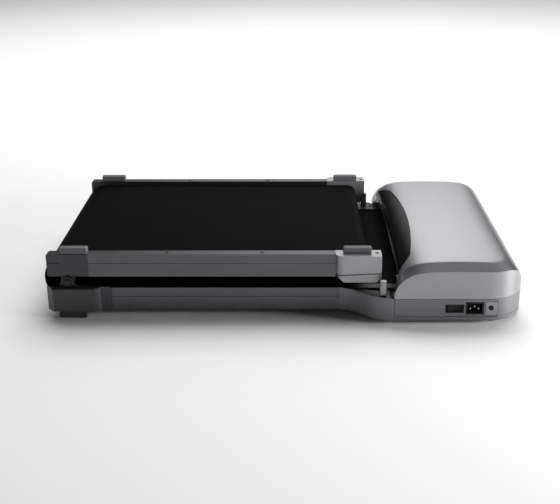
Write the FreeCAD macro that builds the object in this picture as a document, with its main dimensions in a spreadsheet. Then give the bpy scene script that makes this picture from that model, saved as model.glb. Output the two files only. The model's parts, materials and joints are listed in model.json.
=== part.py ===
import FreeCAD, Part
import math
import os
import re
import types

import Sketcher

# A slim motorised walking treadmill that folds in half, stored folded.
# The front half lies on the floor and carries the motor hood at +X. The rear half lies upside
# down on top of it and turns over the hinge line at -X to lie behind it.
# Right is -Y and left is +Y. The origin is the middle of the folded object's footprint.

doc = FreeCAD.newDocument("folding_treadmill")

SIZES = {
    # hinge line and belt
    "fold_x": -372,            # hinge line, along Y
    "rail_clear": 10.6,        # floor to the front rail
    "cross_clear": 1.6,        # cross members to the returning belt
    "walk_gap": 12.5,          # walking surface to the plane of the hinge line
    "belt_thick": 1.8,
    "belt_width": 400,
    "belt_gap": 0.3,           # belt to roller or deck
    # side rails
    "rail_gap": 10.4,          # plane of the hinge line to the rail's near edge
    "belt_guard": 7.4,         # how far the rails reach past the returning belt
    "rail_wide": 18,
    "belt_side": 3,            # belt's edge to the rail
    "rail_wall": 2,
    "groove_drop": 16,         # rail's top edge to the middle of the side groove
    "groove_wide": 2,
    "groove_deep": 1,
    "front_rail_setback": 68.5,  # hinge line to the front rail, clear of the swinging cap
    "front_rail_end": 243,
    "rear_rail_setback": 38,     # hinge line to the rear rail
    # decks and cross members
    "deck_thick": 12,
    "deck_margin": 1,          # deck edge to rail
    "deck_end_gap": 0.5,       # deck end to the hinge line
    "deck_roller_gap": 22.5,   # deck end to the roller's axis
    "cushion_thick": 2,
    "cushion_long": 26,
    "cushion_wide": 34,
    "cushion_side": 150,       # outer cushions from the middle plane
    "cross_wide": 30,
    "cross_tall": 12,
    "cross_wall": 1.5,
    "front_cross_setback": 92,   # hinge line to the first cross member
    "front_cross_step": 200,
    "rear_cross_setback": 62,
    "rear_cross_step": 180,
    # rollers
    "drive_x": 228,
    "tail_x": 134,
    "roller_margin": 3,        # belt edge to roller end
    "roller_wall": 2,
    "roller_crown": 0.25,      # how much fatter the drive roller is in the middle
    "shaft_radius": 6,
    "bearing_radius": 11,
    "bearing_wide": 8,
    "tail_axle_radius": 5,
    "fit_gap": 0.05,           # running fit of a shaft in its bearing
    "slip_gap": 0.3,           # clearance between loose or curved neighbours
    # hinge
    "pin_radius": 4,
    "pin_head": 7,
    "pin_head_thick": 2.4,
    "bush_wall": 2,
    "ear_radius": 10.5,
    "cap_inset": 0.5,          # hinge cap's side face inside the rail's side face
    "hinge_cap_reach": 34,     # hinge line to the left end of the cap
    "cap_corner": 4,
    "plug_long": 20,           # end caps reach this far into the rail
    "plug_gap": 0.4,
    "plate_thick": 3,
    "plate_offset": 1.6,       # hinge plate outside the rail's side face
    "plate_reach": 20,         # hinge line to the plate's left end
    "plate_ear": 12,
    "plate_lift": 2,           # plate to the inside of the rail's wall, above and below
    "joggle_long": 6.5,
    "tongue_long": 70,
    # corner covers at the hinge end
    "corner_reach": 36,        # hinge line to the cover's left end
    "corner_slope_long": 12,
    "corner_flat_long": 62,
    "corner_turn_long": 20,    # length of the rounded right end
    "corner_proud": 15,        # rail's side face to the cover's
    "corner_lip": 7,           # the same where the rounded end runs out
    "corner_lap": 5,           # cover over the rail's end
    "corner_bottom": 13,
    "corner_drop": 6,          # hinge line down to the cover's top
    "corner_round": 3.5,
    # rear tail caps
    "tail_cap_back": 43,       # tail roller's axis to the cap's left end
    "tail_cap_front": 34.8,
    "tail_proud": 12,          # rail's side face to the cap's
    "tail_rise": 0.6,          # cap's top above the rail's
    "tail_round": 12,
    "split_left_drop": 11.85,  # tail roller's axis down to the parting line of cap and lid
    "split_right_drop": 8.05,
    "split_gap": 0.5,
    "reveal_wide": 2.4,
    "lid_gap": 3.7,            # plane of the hinge line to the lid
    "lid_setback": 2,
    "lip_thick": 2.8,          # the cap's lip at the lid's right end
    "lid_step": 3,
    "lip_lift": 4.3,
    "reveal_deep": 3,          # channel along the parting line
    "lid_inset": 0.8,
    # feet
    "foot_long": 48,
    "foot_wide": 15,
    "foot_inset": 2,           # rail's inside face to the foot
    "foot_tall": 10.6,
    "foot_edge": 2.5,
    "hinge_foot_back": 11,     # hinge line to the left end of the rear half's foot
    "tail_foot_setback": 13.2, # tail cap's left end to its foot
    "corner_foot_back": 15,
    "corner_foot_gap": 3.5,    # rail's side face to the foot
    "saddle_tall": 17.4,       # clip under the hinge-end foot, down the rail's side
    "saddle_proud": 0.8,
    "corner_foot_wide": 10,
    # hood
    "hood_left": 190,
    "hood_right": 416,
    "hood_proud": 38,          # rail's side face to the hood's side
    "hood_corner": 70,
    "cover_wall": 2.5,
    "hood_bottom": 5,
    "tray_top": 13.2,
    "tray_inset": 3,
    "tray_seam": 0.4,          # gap between the tray and the base
    "parting_z": 46,
    "seam_x": 267,             # joint between the two halves of the tray's skirt
    "seam_wide": 0.8,
    "seam_deep": 1,
    "crown_z": 108,            # top panel, at its highest
    "shoulder_z": 96,          # sharp edge between shoulder and side
    "shoulder_wide": 30,
    "station_inner": 114,      # shoulder's inner edge to the sections between
    "station_outer": 39,
    "entry_gap": 1,            # rail's side face to the belt entry's edge
    "entry_drop": 6,           # hinge line down to the entry's top
    "crease_in": 8,            # hood's left edge to the display window's lower edge
    "crease_z": 85,
    "visor_reach": 46,         # hood's left edge to the window's end, at the middle
    "visor_bow": 15,
    "visor_end_inset": 69,     # hood's side to where the window's end turns back
    "visor_foot_inset": 16,    # hood's side to the window at the hood's left edge
    "visor_gap": 0.25,
    # transition covers between rail and hood
    "flare_long": 90.8,
    "flare_gap": 0.6,
    "flare_lift": 0.2,
    "flare_rise": 0.4,         # cover's top above the front rail's
    "flare_dip": 5,            # how far its lower edge sinks towards the hood
    "post_back": 24.7,         # hood's left edge to the post
    "post_long": 11.5,
    "post_inset": 8,           # hood's side to the post
    "post_wide": 11,
    "post_seat": 48.5,
    "post_tall": 25.5,
    # drive
    "motor_x": 322,
    "motor_z": 56,
    "motor_radius": 38,
    "motor_start": -60,
    "motor_end": 118,
    "bell_long": 14,
    "bell_radius": 33,
    "flywheel_radius": 36,
    "flywheel_start": 126,
    "flywheel_thick": 12,
    "pulley_gap": 5,           # rail's side face to the pulleys
    "pulley_wide": 13,
    "pulley_lip": 1.2,
    "drive_pulley_radius": 17,
    "motor_pulley_radius": 12,
    "drive_belt_thick": 2.2,
    "drive_belt_wide": 9,
    # electrics
    "board_x": 268,
    "board_long": 102,
    "board_inset": 37,         # hood's side to the control board
    "board_wide": 128,
    "board_z": 14,
    "board_thick": 1.6,
    "sink_x": 290,
    "sink_long": 70,
    "sink_wide": 36,
    "sink_inset": 131,
    "sink_tall": 26,
    "sink_base": 4,
    "sink_fins": 7,
    "sink_fin": 1.6,
    # connector panel on the hood's right side
    "panel_x": 272,
    "panel_long": 94,
    "panel_low": 14.4,
    "panel_high": 42,
    "panel_inset": 0.6,        # hood's side to the panel's face
    "panel_thick": 2.6,
    "switch_x": 276.6,
    "switch_long": 32,
    "switch_low": 20.8,
    "switch_tall": 15.4,
    "switch_deep": 24,
    "rocker_long": 24,
    "rocker_tall": 11,
    "rocker_swing": 7,         # degrees each way
    "rocker_depth": 7.4,       # pivot behind the panel's face
    "inlet_x": 311,
    "inlet_long": 31,
    "inlet_low": 17.8,
    "inlet_tall": 22.6,
    "inlet_deep": 27,
    "socket_long": 24.4,
    "socket_tall": 16.4,
    "socket_deep": 18,
    "pin_pitch": 7,
    "earth_lift": 4,
    "blade_long": 4,
    "blade_thick": 2,
    "blade_out": 15,
    "breaker_x": 346,
    "breaker_long": 19.6,
    "breaker_low": 16.4,
    "breaker_tall": 24.4,
    "breaker_deep": 26,
    "button_radius": 4.6,
    "button_x": 354,
    "button_z": 30,
    "button_travel": 3,
    # transport wheels
    "wheel_back": 24,          # hood's right end to the wheel's axle
    "wheel_z": 14,
    "wheel_radius": 13.4,
    "wheel_inset": 59,         # hood's side to the wheel's inner face
    "wheel_wide": 12,
    "wheel_axle_radius": 3,
    "fork_wall": 3,
    "fork_top": 22,
    # small fasteners
    "screw_head": 3.2,
    "screw_head_thick": 0.6,
    "screw_radius": 1.6,
    "screw_long": 8,
    "rail_screw_first": 173,   # hinge line to the screws on top of the rail
    "rail_screw_second": 337,
    "cap_screw_back": 7,
    "tension_radius": 3,
    "tension_head": 4,
    "tension_head_long": 5,
}

# places that follow from the sizes
PLACES = {
    "wrap_radius": "walk_gap + belt_thick + belt_gap + deck_thick + cushion_thick + cross_tall"
                   " + cross_clear + belt_thick",
    "rail_tall": "wrap_radius + belt_guard - rail_gap",
    "fold_z": "rail_clear + rail_tall + rail_gap",
    "rail_inner": "belt_width / 2 + belt_side",
    "rail_outer": "rail_inner + rail_wide",
    "hood_half": "rail_outer + hood_proud",
    "wheel_side": "hood_half - wheel_inset",
    "visor_half": "hood_half - visor_end_inset",
    "visor_foot": "hood_half - visor_foot_inset",
    "front_rail_low": "fold_z - rail_gap - rail_tall",
    "rear_rail_high": "fold_z + rail_gap + rail_tall",
    "front_rail_start": "fold_x + front_rail_setback",
    "rear_rail_start": "fold_x + rear_rail_setback",
    "rear_rail_end": "tail_start",
    "front_deck_end": "drive_x - deck_roller_gap",
    "rear_deck_end": "tail_x - deck_roller_gap",
    "front_cross_first": "fold_x + front_cross_setback",
    "rear_cross_first": "fold_x + rear_cross_setback",
    "roller_drop": "(walk_gap + wrap_radius) / 2",
    "hinge_cap_start": "fold_x - hinge_cap_reach",
    "plate_start": "fold_x - plate_reach",
    "plate_bottom": "front_rail_low + rail_wall + plug_gap + plate_lift",
    "plate_top": "fold_z - plate_ear",
    "joggle_x": "front_rail_start - joggle_long",
    "tongue_end": "joggle_x + tongue_long",
    "corner_start": "fold_x - corner_reach",
    "corner_flat_start": "corner_start + corner_slope_long",
    "corner_flat_end": "corner_flat_start + corner_flat_long",
    "corner_end": "front_rail_start + corner_lap",
    "corner_outer": "rail_outer + corner_proud",
    "corner_top": "fold_z - corner_drop",
    "tail_start": "tail_x - tail_cap_back",
    "tail_end": "tail_x + tail_cap_front",
    "tail_outer": "rail_outer + tail_proud",
    "tail_top": "rear_rail_high + tail_rise",
    "split_left_z": "fold_z + roller_drop - split_left_drop",
    "split_right_z": "fold_z + roller_drop - split_right_drop",
    "lid_bottom": "fold_z + lid_gap",
    "lid_start": "tail_start + lid_setback",
    "lid_end": "tail_end - lip_thick",
    "split_right_x": "lid_end - lid_step",
    "lip_bottom": "lid_bottom + lip_lift",
    "foot_side": "rail_inner + foot_inset",
    "hinge_foot_x": "fold_x - hinge_foot_back",
    "tail_foot_x": "tail_start + tail_foot_setback",
    "corner_foot_x": "fold_x - corner_foot_back",
    "corner_foot_side": "rail_outer + corner_foot_gap",
    "entry_half": "rail_outer + entry_gap",
    "entry_top": "fold_z - entry_drop",
    "crease_x": "hood_left + crease_in",
    "flare_end": "hood_left - flare_gap",
    "flare_start": "flare_end - flare_long",
    "flare_top": "front_rail_low + rail_tall + flare_rise",
    "flare_bottom": "front_rail_low + flare_lift",
    "post_x": "hood_left - post_back",
    "post_side": "hood_half - post_inset - post_wide",
    "pulley_side": "rail_outer + pulley_gap",
    "board_side": "board_inset - hood_half",
    "sink_side": "sink_inset - hood_half",
    "panel_face": "hood_half - panel_inset",
    "rocker_pivot": "panel_face - rocker_depth",
    "wheel_x": "hood_right - wheel_back",
}

sheet = doc.addObject("Spreadsheet::Sheet", "Sizes")
for row, (alias, value) in enumerate(SIZES.items(), start=1):
    sheet.set("A%d" % row, alias)
    sheet.set("B%d" % row, str(value))
    sheet.setAlias("B%d" % row, alias)
doc.recompute()


NODES = []


def bind(text):
    """Spell out the places in a formula, and turn the names of sheet cells into references."""
    def spell(word):
        name = word.group()
        if name in PLACES:
            return "(%s)" % bind(PLACES[name])
        return "Sizes." + name if name in SIZES else name

    return re.sub(r"[a-z][a-z_0-9]*", spell, str(text))


probe = doc.addObject("Part::Vertex", "formula_probe")


def number(formula):
    """What a formula comes to with the sheet's values."""
    probe.setExpression("X", bind(formula))
    probe.recompute()
    return float(probe.X)


# the sizes and places as numbers, for pieces that Part's own functions build
mm = types.SimpleNamespace(**{name: number(name) for name in [*SIZES, *PLACES]})


def place(item, corner):
    """Bind an object's position to three formulas."""
    for axis, formula in zip("xyz", corner):
        item.setExpression("Placement.Base." + axis, bind(formula))


def node(item):
    """Mark an object as a finished sub-part."""
    NODES.append(item)
    return item


# ---- ways of making a solid ----

def box(label, corner, lengths):
    """A block from its lowest corner and its three lengths."""
    item = doc.addObject("Part::Box", label)
    for side, formula in zip(("Length", "Width", "Height"), lengths):
        item.setExpression(side, bind(formula))
    place(item, corner)
    return item


AXIS_TURN = {
    "x": FreeCAD.Rotation(FreeCAD.Vector(0, 1, 0), 90),
    "y": FreeCAD.Rotation(FreeCAD.Vector(1, 0, 0), -90),
    "z": FreeCAD.Rotation(),
}


def rod(label, start, radius, length, axis="y"):
    """A cylinder from the middle of its first end, along one axis."""
    item = doc.addObject("Part::Cylinder", label)
    item.setExpression("Radius", bind(radius))
    item.setExpression("Height", bind(length))
    item.Placement = FreeCAD.Placement(FreeCAD.Vector(), AXIS_TURN[axis])
    place(item, start)
    return item


def cut(label, base, *tools):
    """Take the tools away from the base."""
    for number, tool in enumerate(tools, start=1):
        last = number == len(tools)
        item = doc.addObject("Part::Cut", label if last else "%s_cut_%d" % (label, number))
        item.Base = base
        item.Tool = tool
        base = item
    return base


def fuse(label, *pieces):
    """Join pieces that overlap or touch into one solid."""
    item = doc.addObject("Part::MultiFuse", label)
    item.Shapes = list(pieces)
    item.Refine = True
    return item


def group(label, *pieces):
    """Like pieces that share one node but stay separate solids."""
    item = doc.addObject("Part::Compound", label)
    item.Links = list(pieces)
    return item


def mirror(label, source):
    """The same piece on the other side of the middle plane."""
    item = doc.addObject("Part::Mirroring", label)
    item.Source = source
    item.Base = (0, 0, 0)
    item.Normal = (0, 1, 0)
    return item


def both_sides(label, source):
    """A group of a piece and its mirror image."""
    return group(label, source, mirror(source.Label + "_other", source))


def built(label, shape):
    """A piece whose shape needs Part's own functions."""
    item = doc.addObject("Part::Feature", label)
    item.Shape = shape
    return item


def sketch(body, role, loops):
    """Draw closed loops on one of the body's own planes.

    A loop is a list of corners, two formulas each, or one circle as centre and radius.
    """
    drawing = body.newObject("Sketcher::SketchObject", body.Label + "_sketch")
    plane = [item for item in body.Origin.OriginFeatures if item.Role == role][0]
    drawing.AttachmentSupport = [(plane, "")]
    drawing.MapMode = "FlatFace"

    def pin_point(line, end, corner, guess):
        for kind, formula, start in zip(("DistanceX", "DistanceY"), corner, guess):
            rule = drawing.addConstraint(Sketcher.Constraint(kind, -1, 1, line, end, start))
            drawing.setExpression("Constraints[%d]" % rule, bind(formula))

    for loop in loops:
        if isinstance(loop, tuple):
            across, up, radius = (number(formula) for formula in loop)
            circle = drawing.addGeometry(
                Part.Circle(FreeCAD.Vector(across, up, 0), FreeCAD.Vector(0, 0, 1), radius), False)
            pin_point(circle, 3, loop[:2], (across, up))
            rule = drawing.addConstraint(Sketcher.Constraint("Radius", circle, radius))
            drawing.setExpression("Constraints[%d]" % rule, bind(loop[2]))
            continue
        guesses = [(number(across), number(up)) for across, up in loop]
        corners = [FreeCAD.Vector(across, up, 0) for across, up in guesses]
        lines = [drawing.addGeometry(Part.LineSegment(start, end), False)
                 for start, end in zip(corners, corners[1:] + corners[:1])]
        for line, following in zip(lines, lines[1:] + lines[:1]):
            drawing.addConstraint(Sketcher.Constraint("Coincident", line, 2, following, 1))
        for line, corner, guess in zip(lines, loop, guesses):
            pin_point(line, 1, corner, guess)
    return drawing


def padded(label, role, loops, length, corner=("0", "0", "0")):
    """A sketched outline given a thickness, square to its plane."""
    body = doc.addObject("PartDesign::Body", label)
    pad = body.newObject("PartDesign::Pad", label + "_pad")
    drawing = sketch(body, role, loops)
    pad.Profile = drawing
    pad.setExpression("Length", bind(length))
    if role == "XZ_Plane":
        pad.Reversed = True
    body.Tip = pad
    place(body, corner)
    return body


def turned(label, outline, corner):
    """A round piece on an axis along Y, from half its section: radius, place along the axis."""
    body = doc.addObject("PartDesign::Body", label)
    spin = body.newObject("PartDesign::Revolution", label + "_turn")
    drawing = sketch(body, "XY_Plane", [outline])
    spin.Profile = drawing
    spin.ReferenceAxis = (drawing, ["V_Axis"])
    spin.Angle = 360
    body.Tip = spin
    place(body, corner)
    return body


def round_edges(body, radius, chooses):
    """Fillet the edges of a body that a test picks."""
    doc.recompute()
    tip = body.Tip
    in_place = tip.Shape.copy()
    in_place.Placement = body.Placement.multiply(in_place.Placement)
    names = ["Edge%d" % count for count, edge in enumerate(in_place.Edges, start=1)
             if chooses(edge)]
    finish = body.newObject("PartDesign::Fillet", "%s_round_%d" % (body.Label, len(body.Group)))
    finish.Base = (tip, names)
    finish.setExpression("Radius", bind(radius))
    body.Tip = finish
    return body


def runs_along(edge, axis):
    """Whether an edge is straight and lies along an axis."""
    return (edge.Curve.TypeId == "Part::GeomLine"
            and abs(abs(edge.tangentAt(edge.FirstParameter).dot(axis)) - 1) < 1e-6)


X_AXIS = FreeCAD.Vector(1, 0, 0)
Y_AXIS = FreeCAD.Vector(0, 1, 0)
Z_AXIS = FreeCAD.Vector(0, 0, 1)


# ---- levels and places that several pieces share ----

ROLLER_RADIUS = "((wrap_radius - walk_gap) / 2 - belt_thick - belt_gap)"
DECK_NEAR = "(walk_gap + belt_thick + belt_gap)"
DECK_FAR = "(walk_gap + belt_thick + belt_gap + deck_thick)"
CUSHION_FAR = "(walk_gap + belt_thick + belt_gap + deck_thick + cushion_thick)"
CROSS_FAR = "(walk_gap + belt_thick + belt_gap + deck_thick + cushion_thick + cross_tall)"
DRIVE_Z = "(fold_z - roller_drop)"
TAIL_Z = "(fold_z + roller_drop)"
PLATE_INNER = "(rail_inner + rail_wide + plate_offset)"
PLATE_OUTER = "(rail_inner + rail_wide + plate_offset + plate_thick)"
CAP_OUTER = "(rail_inner + rail_wide - cap_inset)"
RAIL_START = {"front": "front_rail_start", "rear": "rear_rail_start"}
RAIL_END = {"front": "front_rail_end", "rear": "rear_rail_end"}


def lowest(half, near, far):
    """Lowest level of a piece that lies from near to far from the plane of the hinge line."""
    return "fold_z - %s" % far if half == "front" else "fold_z + %s" % near


# ---- screws in the rear half ----

REAR_FOOT_Z = "rear_rail_high"
RAIL_SCREWS = ["fold_x + rail_screw_first", "fold_x + rail_screw_second"]
RAIL_MIDDLE = "-rail_inner - rail_wide / 2"
CAP_SCREW = ("tail_end - cap_screw_back", "-rail_inner - rail_wide * 0.75")


def screw(label, place_xy, level, shank_long):
    """A low round head on a level face, with its shank going down."""
    x, y = place_xy
    head = rod(label + "_head", (x, y, level), "screw_head", "screw_head_thick", "z")
    shank = rod(label + "_shank", (x, y, "%s - %s" % (level, shank_long)), "screw_radius",
                "%s + screw_head_thick / 2" % shank_long, "z")
    return fuse(label, head, shank)


def screw_hole(label, place_xy, level, deep):
    """The hole that a screw's shank fills."""
    x, y = place_xy
    return rod(label, (x, y, "%s - %s" % (level, deep)), "screw_radius + fit_gap / 2",
               "%s + 1" % deep, "z")


rail_screws = [screw("rail_screw_%d" % count, (along, RAIL_MIDDLE), REAR_FOOT_Z, "rail_wall")
               for count, along in enumerate(RAIL_SCREWS)]
rail_screw_holes = [screw_hole("rail_screw_hole_%d" % count, (along, RAIL_MIDDLE), REAR_FOOT_Z,
                               "(rail_wall + 1)")
                    for count, along in enumerate(RAIL_SCREWS)]
cap_screw = screw("cap_screw", CAP_SCREW, "tail_top", "screw_long")
rear_screws = rail_screws + [cap_screw]
node(group("rear_screws", *rear_screws, *[mirror(item.Label + "_other", item) for item in rear_screws]))


# ---- side rails, decks and cross members of each half ----

def side_rail(half):
    """A hollow extrusion with one groove along its outside."""
    low = "(%s)" % lowest(half, "rail_gap", "(rail_gap + rail_tall)")
    high = "(%s + rail_tall)" % low
    groove = "(%s - groove_drop)" % high
    floor = "-(rail_inner + rail_wide - groove_deep)"
    outside = [
        ("-rail_outer", low), ("-rail_inner", low), ("-rail_inner", high), ("-rail_outer", high),
        ("-rail_outer", groove + " + groove_wide / 2"), (floor, groove + " + groove_wide / 2"),
        (floor, groove + " - groove_wide / 2"), ("-rail_outer", groove + " - groove_wide / 2"),
    ]
    hollow = [
        ("-rail_outer + rail_wall", low + " + rail_wall"),
        ("-rail_inner - rail_wall", low + " + rail_wall"),
        ("-rail_inner - rail_wall", high + " - rail_wall"),
        ("-rail_outer + rail_wall", high + " - rail_wall"),
    ]
    length = "%s - %s" % (RAIL_END[half], RAIL_START[half])
    return padded(half + "_rail_stock", "YZ_Plane", [outside, hollow], length,
                  (RAIL_START[half], "0", "0"))


shaft_hole = rod("shaft_hole", ("drive_x", "-rail_outer - 1", DRIVE_Z),
                 "shaft_radius + 1", "rail_wide + 2")
front_rail = node(cut("front_rail_right", side_rail("front"), shaft_hole))
node(mirror("front_rail_left", front_rail))
rear_rail = node(cut("rear_rail_right", side_rail("rear"), *rail_screw_holes))
node(mirror("rear_rail_left", rear_rail))


def deck(half, end):
    """The board that the belt slides on, with rounded ends."""
    width = "(2 * (rail_inner - deck_margin))"
    low = lowest(half, DECK_NEAR, DECK_FAR)
    start = "fold_x + deck_end_gap"
    outline = [(start, low), (end, low), (end, low + " + deck_thick"), (start, low + " + deck_thick")]
    return padded(half + "_deck", "XZ_Plane", [outline], width, ("0", "-%s / 2" % width, "0"))


def cross_members(half, first, step):
    """Three steel box tubes that tie the rails together under the deck."""
    low = lowest(half, CUSHION_FAR, CROSS_FAR)
    tubes = []
    for number_in_row in range(3):
        left = "(%s + %d * %s)" % (first, number_in_row, step)
        outside = [(left, low), (left + " + cross_wide", low),
                   (left + " + cross_wide", low + " + cross_tall"), (left, low + " + cross_tall")]
        inside = [(left + " + cross_wall", low + " + cross_wall"),
                  (left + " + cross_wide - cross_wall", low + " + cross_wall"),
                  (left + " + cross_wide - cross_wall", low + " + cross_tall - cross_wall"),
                  (left + " + cross_wall", low + " + cross_tall - cross_wall")]
        tubes.append(padded("%s_cross_%d" % (half, number_in_row + 1), "XZ_Plane", [outside, inside],
                            "2 * rail_inner", ("0", "-rail_inner", "0")))
    return group(half + "_cross_members", *tubes)


def cushions(half, first, step):
    """Rubber pads between deck and cross members."""
    low = lowest(half, DECK_FAR, CUSHION_FAR)
    pads = []
    for number_in_row in range(3):
        for side in (-1, 0, 1):
            left = "%s + %d * %s + (cross_wide - cushion_long) / 2" % (first, number_in_row, step)
            near = "%d * cushion_side - cushion_wide / 2" % side
            label = "%s_cushion_%d_%d" % (half, number_in_row + 1, side + 2)
            pads.append(box(label, (left, near, low), ("cushion_long", "cushion_wide", "cushion_thick")))
    return group(half + "_cushions", *pads)


for half, deck_end in (("front", "front_deck_end"), ("rear", "rear_deck_end")):
    first, step = half + "_cross_first", half + "_cross_step"
    node(deck(half, deck_end))
    node(cross_members(half, first, step))
    node(cushions(half, first, step))


# ---- walking belt ----

def flat_loop(steps):
    """A closed outline in the XZ plane. A step is a corner, or a point on an arc and its end."""
    def spot(place_xz):
        return FreeCAD.Vector(place_xz[0], 0, place_xz[1])

    edges = []
    here = steps[0][-1]
    for step in steps[1:] + steps[:1]:
        there = step[-1]
        if len(step) == 2:
            edges.append(Part.Arc(spot(here), spot(step[0]), spot(there)).toShape())
        else:
            edges.append(Part.LineSegment(spot(here), spot(there)).toShape())
        here = there
    return Part.Wire(edges)


def across(wire, start, length):
    """A solid from a closed outline in the XZ plane, along Y."""
    solid = Part.Face(wire).extrude(FreeCAD.Vector(0, length, 0))
    solid.translate(FreeCAD.Vector(0, start, 0))
    return solid


def belt_run(half, roller_x):
    """The belt of one half: out along the deck, round the roller and back to the fold."""
    sign = -1 if half == "front" else 1
    walk, back, thick = mm.walk_gap, mm.wrap_radius, mm.belt_thick
    middle = mm.fold_z + sign * (walk + back) / 2
    reach = (back - walk) / 2

    def level(distance):
        return mm.fold_z + sign * distance

    outline = flat_loop([
        ((mm.fold_x, level(walk)),),
        ((roller_x, level(walk)),),
        ((roller_x + reach, middle), (roller_x, level(back))),
        ((mm.fold_x, level(back)),),
        ((mm.fold_x, level(back - thick)),),
        ((roller_x, level(back - thick)),),
        ((roller_x + reach - thick, middle), (roller_x, level(walk + thick))),
        ((mm.fold_x, level(walk + thick)),),
    ])
    return across(outline, -mm.belt_width / 2, mm.belt_width)


def belt_bend(outer):
    """Half a turn of belt about the hinge line."""
    inner = outer - mm.belt_thick
    outline = flat_loop([
        ((mm.fold_x, mm.fold_z - outer),),
        ((mm.fold_x - outer, mm.fold_z), (mm.fold_x, mm.fold_z + outer)),
        ((mm.fold_x, mm.fold_z + inner),),
        ((mm.fold_x - inner, mm.fold_z), (mm.fold_x, mm.fold_z - inner)),
    ])
    return across(outline, -mm.belt_width / 2, mm.belt_width)


node(built("walking_belt_front", belt_run("front", mm.drive_x)))
node(built("walking_belt_rear", belt_run("rear", mm.tail_x)))
node(built("belt_outer_bend", belt_bend(mm.wrap_radius)))
node(built("belt_inner_bend", belt_bend(mm.walk_gap + mm.belt_thick)))


# ---- rollers ----

ROLLER_END = "(belt_width / 2 - roller_margin)"
SHAFT_RIGHT = "-(rail_inner + rail_wide - rail_wall - slip_gap)"
SHAFT_LEFT = "(pulley_side + pulley_wide + slip_gap)"

node(turned("drive_roller", [
    ("0", SHAFT_RIGHT), ("shaft_radius", SHAFT_RIGHT), ("shaft_radius", "-" + ROLLER_END),
    (ROLLER_RADIUS + " - roller_crown", "-" + ROLLER_END), (ROLLER_RADIUS, "0"),
    (ROLLER_RADIUS + " - roller_crown", ROLLER_END), ("shaft_radius", ROLLER_END),
    ("shaft_radius", SHAFT_LEFT), ("0", SHAFT_LEFT),
], ("drive_x", "0", DRIVE_Z)))


def belt_pulley(label, radius, bore, corner):
    """A belt pulley with a lip at each side."""
    far = "pulley_side + pulley_wide"
    lip = radius + " + pulley_lip"
    return turned(label, [
        (bore, "pulley_side"), (lip, "pulley_side"), (lip, "pulley_side + pulley_lip"),
        (radius, "pulley_side + pulley_lip"), (radius, far + " - pulley_lip"),
        (lip, far + " - pulley_lip"), (lip, far), (bore, far),
    ], corner)


node(belt_pulley("roller_pulley", "drive_pulley_radius", "shaft_radius + fit_gap / 2",
                 ("drive_x", "0", DRIVE_Z)))

block_shell = box("bearing_block_stock",
                  ("drive_x - bearing_radius - rail_wall * 2", "-rail_outer + rail_wall",
                   "front_rail_low + rail_wall"),
                  ("2 * bearing_radius + rail_wall * 4", "rail_wide - 2 * rail_wall",
                   "rail_tall - 2 * rail_wall"))
block_bore = rod("bearing_block_bore", ("drive_x", "-rail_outer", DRIVE_Z),
                 "bearing_radius + fit_gap / 2", "rail_wide")
node(both_sides("bearing_blocks", cut("bearing_block_right", block_shell, block_bore)))

bearing_outer = rod("bearing_outer", ("drive_x", "-rail_inner - rail_wall - bearing_wide", DRIVE_Z),
                    "bearing_radius", "bearing_wide")
bearing_bore = rod("bearing_bore", ("drive_x", "-rail_outer", DRIVE_Z),
                   "shaft_radius + fit_gap", "rail_wide")
node(both_sides("roller_bearings", cut("roller_bearing_right", bearing_outer, bearing_bore)))

TUBE_BORE = "(%s - roller_wall)" % ROLLER_RADIUS
node(turned("tail_roller", [
    (TUBE_BORE, "-" + ROLLER_END), (ROLLER_RADIUS + " - roller_crown", "-" + ROLLER_END),
    (ROLLER_RADIUS, "0"), (ROLLER_RADIUS + " - roller_crown", ROLLER_END), (TUBE_BORE, ROLLER_END),
], ("tail_x", "0", TAIL_Z)))
node(both_sides("tail_roller_bearings", turned("tail_bearing_right", [
    ("tail_axle_radius + fit_gap", "-" + ROLLER_END), (TUBE_BORE + " - fit_gap / 2", "-" + ROLLER_END),
    (TUBE_BORE + " - fit_gap / 2", "bearing_wide - " + ROLLER_END),
    ("tail_axle_radius + fit_gap", "bearing_wide - " + ROLLER_END),
], ("tail_x", "0", TAIL_Z))))
AXLE_REACH = "(rail_inner + rail_wide - plug_gap * 10)"
node(rod("tail_axle", ("tail_x", "-" + AXLE_REACH, TAIL_Z), "tail_axle_radius", "2 * " + AXLE_REACH))


# ---- hinge ----

def rail_plug(label, start, length, half):
    """The tongue of an end cap that slides into a hollow rail."""
    low = lowest(half, "rail_gap", "(rail_gap + rail_tall)") + " + rail_wall + plug_gap"
    return box(label, (start, "-rail_outer + rail_wall + plug_gap", low),
               (length, "rail_wide - 2 * (rail_wall + plug_gap)",
                "rail_tall - 2 * (rail_wall + plug_gap)"))


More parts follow.
